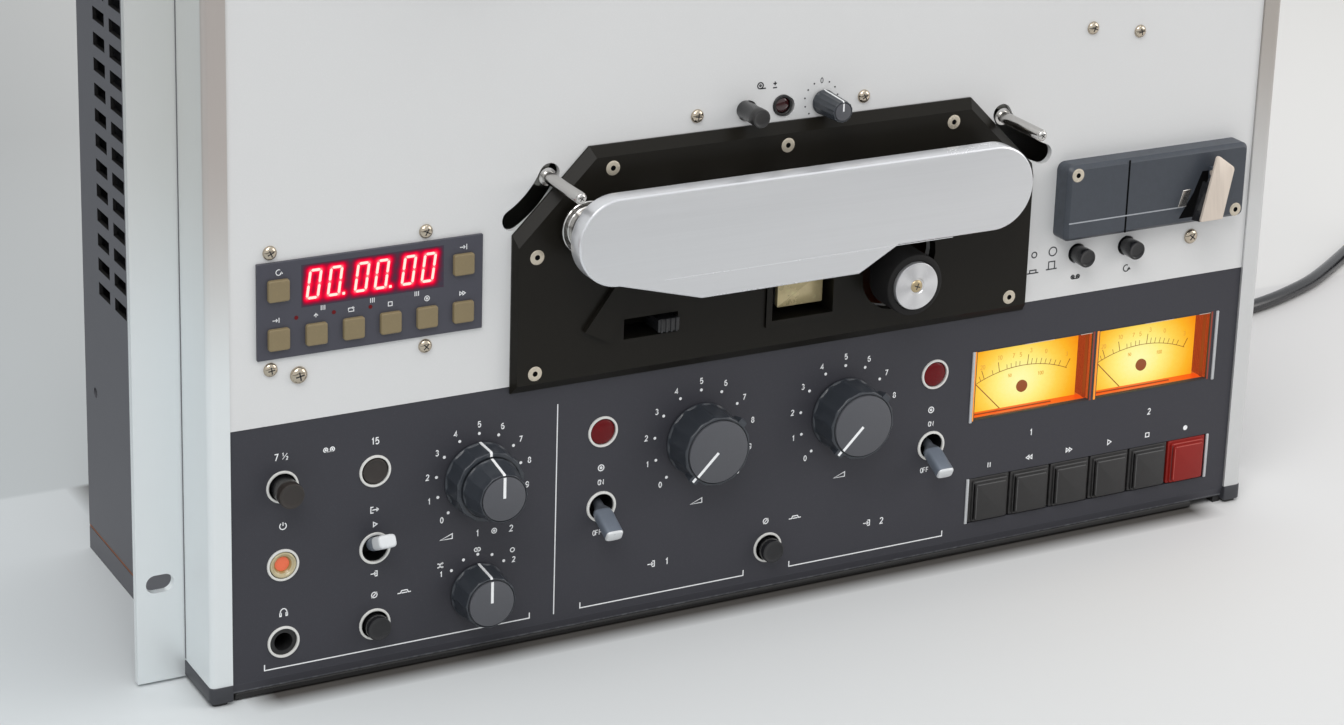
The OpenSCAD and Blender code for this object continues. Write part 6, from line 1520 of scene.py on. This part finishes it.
# Edit slide: lever with a ribbed grip in its recess
editSet = {"x": -48.8, "half": 4.4, "mid": 119.5, "tall": 2.6, "front": -6.4, "ribs": 4, "ribPitch": 2.0}
e = editSet
low, high = e["mid"] - e["tall"], e["mid"] + e["tall"]
grip = slab(e["x"] - e["half"], e["x"] + e["half"], low, high, 3.0, e["front"], 0.5, 0.6)
for k in range(e["ribs"]):
    x = e["x"] - 3.4 + e["ribPitch"] * k
    grip += slab(x, x + 0.8, low - 0.1, high + 0.1, e["front"] + 0.4, e["front"] - 0.35, 0.2, 0.2)
build("editSlideGrip", grip, ["gloss"], "edit_lever")

# Splicing block, its tape groove, and the blade's lever
blockSet = {"x0": 122.0, "x1": 207.6, "z0": 128.3, "z1": 158.8, "front": -8.4, "step": 135.9, "slit": 150.0,
            "screws": [(126.1, 155.2), (202.9, 131.6)]}
b = blockSet
front = b["front"]
outline = rounded([(b["x0"], b["z0"]), (b["x1"], b["z0"]), (b["x1"], b["z1"]), (b["x0"], b["z1"])],
                  [2.4, 2.4, 3.2, 3.2], 6)
block = swept(outline, [(0, 0.0), (0, front + 1.75), (0.08, front + 1.6), (1.45, front + 0.08), (1.6, front)])
# a painted highlight along the top edge of the step below the tape groove
block += stroke([(b["x0"] + 1.3, b["step"]), (177.2, b["step"])], 0.5, front, slot=3, rise=0.12)
block += stroke([(b["slit"], b["z0"] + 0.6), (b["slit"], b["z1"] - 0.4)], 0.8, front, slot=5, rise=0.05)
# the dark pocket under the cutter, drawn just over the face
pocket = np.array([(175.4, 131.2), (184.6, 131.2), (189.2, 149.6), (185.2, 149.6), (181.6, 141.0)])
block += swept(pocket, [(0, front + 0.1), (0, front - 0.05)], 5)
for at in b["screws"]:
    block += countersunk(at, 2.45, front - 0.02, 1, 5)
blade = np.array([(174.4, 136.1), (178.4, 136.1), (180.4, 142.9), (176.4, 142.9)])
block += swept(blade, [(0, front + 0.2), (0, front - 0.3), (0.15, front - 0.4)], 2)
block += [turned((177.4, 139.6),
                 [(0, front - 0.3), (0.8, front - 0.3), (0.8, front - 0.43), (0, front - 0.43)], 18, 4)]
# the two lugs that hold the cutter's pin
for x in (188.3, 194.3):
    block += [boxShell(x, x + 1.8, front - 3.2, front + 0.4, 146.8, 151.2),
              turnedX(x, x + 1.8, (front - 3.2, 149.0), 2.2, 0)]
build("splicingBlockBody", block, ["splice", "creamScrew", "steel", "stepHighlight", "black", "void"], crease=24,
      replaces=("splicing_block",))

# Cutter lever: a bent sheet of polished steel with a flange, a knuckle and its pin
cutter = {"pivot": (190.0, -10.2, 149.0), "tilt": -8, "face": (-13.8, -15.0), "low": 131.2, "top": 156.9,
          "x": (179.4, 190.0)}


def leverShells():
    c = cutter
    back, front = c["face"]
    left, right = c["x"]
    outline = rounded([(left, c["low"]), (right, c["low"]), (196.2, 150.9), (188.1, c["top"])],
                      [0.5, 0.5, 1.6, 1.0], 4)
    shells = swept(outline, [(0, back), (0, front + 0.25), (0.1, front + 0.08), (0.35, front)], 0)
    # the flange is the same bent steel, coloured glossy black as painted shade
    flange = np.array([(left, c["low"]), (left + 0.8, c["low"]), (185.6, 145.9), (184.8, 145.9)])
    shells += swept(flange, [(0, -9.0), (0, back - 0.2)], 1)
    y, z = c["pivot"][1:]
    shells += [turnedX(190.4, 194.0, (y, z), 2.0, 0), boxShell(190.4, 194.0, back, y, z - 1.6, z + 1.6, 0),
               turnedX(188.2, 196.2, (y, z), 1.2, 0)]
    turn = aboutX(c["tilt"])
    return [moved(shell, turn=turn, about=c["pivot"]) for shell in shells]


paint["lever"] = material("leverSteel", rgb(218, 205, 192), (0.32, 0.42), 0.3, contrast=0.08,
                          brushed=(1200.0, 60.0, 60.0), bump=0.02)
build("cutterLeverSheet", leverShells(), ["lever", "gloss"], "cutter_lever")

# Tension arms: a dark sheet behind the deck, its hub, and the polished rod that the tape bends round
armSet = {"pivot": (127.4, 196.5), "rod": (95.6, 179.9), "r": 2.3, "reach": -26.2, "back": 5.3, "face": 2.8}
for name, side in (("tension_arm_left", -1), ("tension_arm_right", 1)):
    a = armSet
    pivot, rod = ((side * q[0], q[1]) for q in (a["pivot"], a["rod"]))
    r, tip = a["r"], a["reach"]
    rows = [(0, a["face"] + 0.1), (r + 1.0, a["face"] + 0.1), (r + 1.0, 0.4), (r, 0.2), (r, tip + 0.5),
            (r - 0.2, tip + 0.1), (r - 0.5, tip), (0, tip)]
    arm = [turned(rod, rows, 32, 0),
           turned(pivot, [(0, 8.8), (6, 8.8), (6, a["face"]), (0, a["face"])], 40, 1)]
    arm += stroke([pivot, rod], 9.0, a["back"], slot=1, rise=a["back"] - a["face"])
    arm += screwHead(rod, 1.9, tip, 0.8, 0, 2, turn=55)
    build("tensionArmRod" + ("Left" if side < 0 else "Right"), arm, ["steel", "chassis", "black"], name)

print("deck fittings made")

# Corner caps, the foot pads under them and the black tray edge below the panel's fold
capSet = {"in": 215.3, "out": 223.8, "front": -1.5, "back": 28.0, "low": 1.3, "high": 7.4, "pad": 1.5,
          "bodyTop": 401.4}


def upright(outline, rows, slot=0):
    # a plan outline (x, y) carried up the rows (inset, z)
    shells = swept(outline, rows, slot)
    return [(pts[:, [0, 2, 1]], faces, s, smooth) for pts, faces, s, smooth in shells]


def capShells(side, top):
    c = capSet
    corners = [(c["in"], c["front"]), (c["out"], c["front"]), (c["out"], c["back"]), (c["in"], c["back"])]
    body = rounded(corners, [0.4, 2.4, 0.6, 0.4], 6)
    pad = rectangle(c["in"] + c["pad"], c["out"] - c["pad"], c["front"] + c["pad"], c["back"] - c["pad"],
                    1.0, 4)
    rows = [(0.7, c["low"]), (0.2, c["low"] + 0.12), (0, c["low"] + 0.5), (0, c["high"] - 0.4),
            (0.12, c["high"] - 0.1), (0.4, c["high"])]
    # the foot pads are black, and their black also stands in for the shade under the caps
    shells = upright(body, rows) + upright(pad, [(0, 0.0), (0, c["low"] + 0.3)], 1)
    if not top:
        shells += [boxShell(c["in"] - 3.2, c["in"] + 0.1, 1.8, 19.0, 0.0, 2.4, 1)]
    out = []
    for shell in shells:
        pts = shell[0].copy()
        pts[:, 0] *= side
        if top:
            pts[:, 2] = c["bodyTop"] - pts[:, 2]
        out.append((pts,) + tuple(shell[1:]))
    return out


caps = [shell for side in (-1, 1) for top in (False, True) for shell in capShells(side, top)]
build("cornerCapSet", caps, ["cap", "socket"], replaces=("corner_caps",))
build("baseTrayEdge", slab(-214.0, 200.2, 0.6, 3.0, 24.0, 0.7, 0.4, 0.3), ["trayEdge"])

# Seam between the rear cover's two halves, as boxes (x, x, y, y, z, z): both sides and the back
seamSet = {"y": (30.0, 145.0), "z": (9.75, 10.25), "side": (219.1, 219.35), "back": (145.9, 146.15),
           "half": 219.0}
paint["seam"] = material("seamWax", rgb(150, 84, 36), (0.5, 0.6), grain=400.0, contrast=0.3, speckle=0.3,
                         bump=0.02)
near, far = seamSet["side"]
seams = [boxShell(x0, x1, *seamSet["y"], *seamSet["z"]) for x0, x1 in ((-far, -near), (near, far))]
seams += [boxShell(-seamSet["half"], seamSet["half"], *seamSet["back"], *seamSet["z"])]
build("coverSeamLine", seams, ["seam"])

# Painted shade: dark lines in the corners between the ears and the rails' sides
jointShades = [boxShell(x0, x1, 24.4, 25.0, 8.0, 394.0) for x0, x1 in ((-223.65, -223.3), (223.3, 223.65))]
build("railCornerShade", jointShades, ["cover"])
print("caps made")
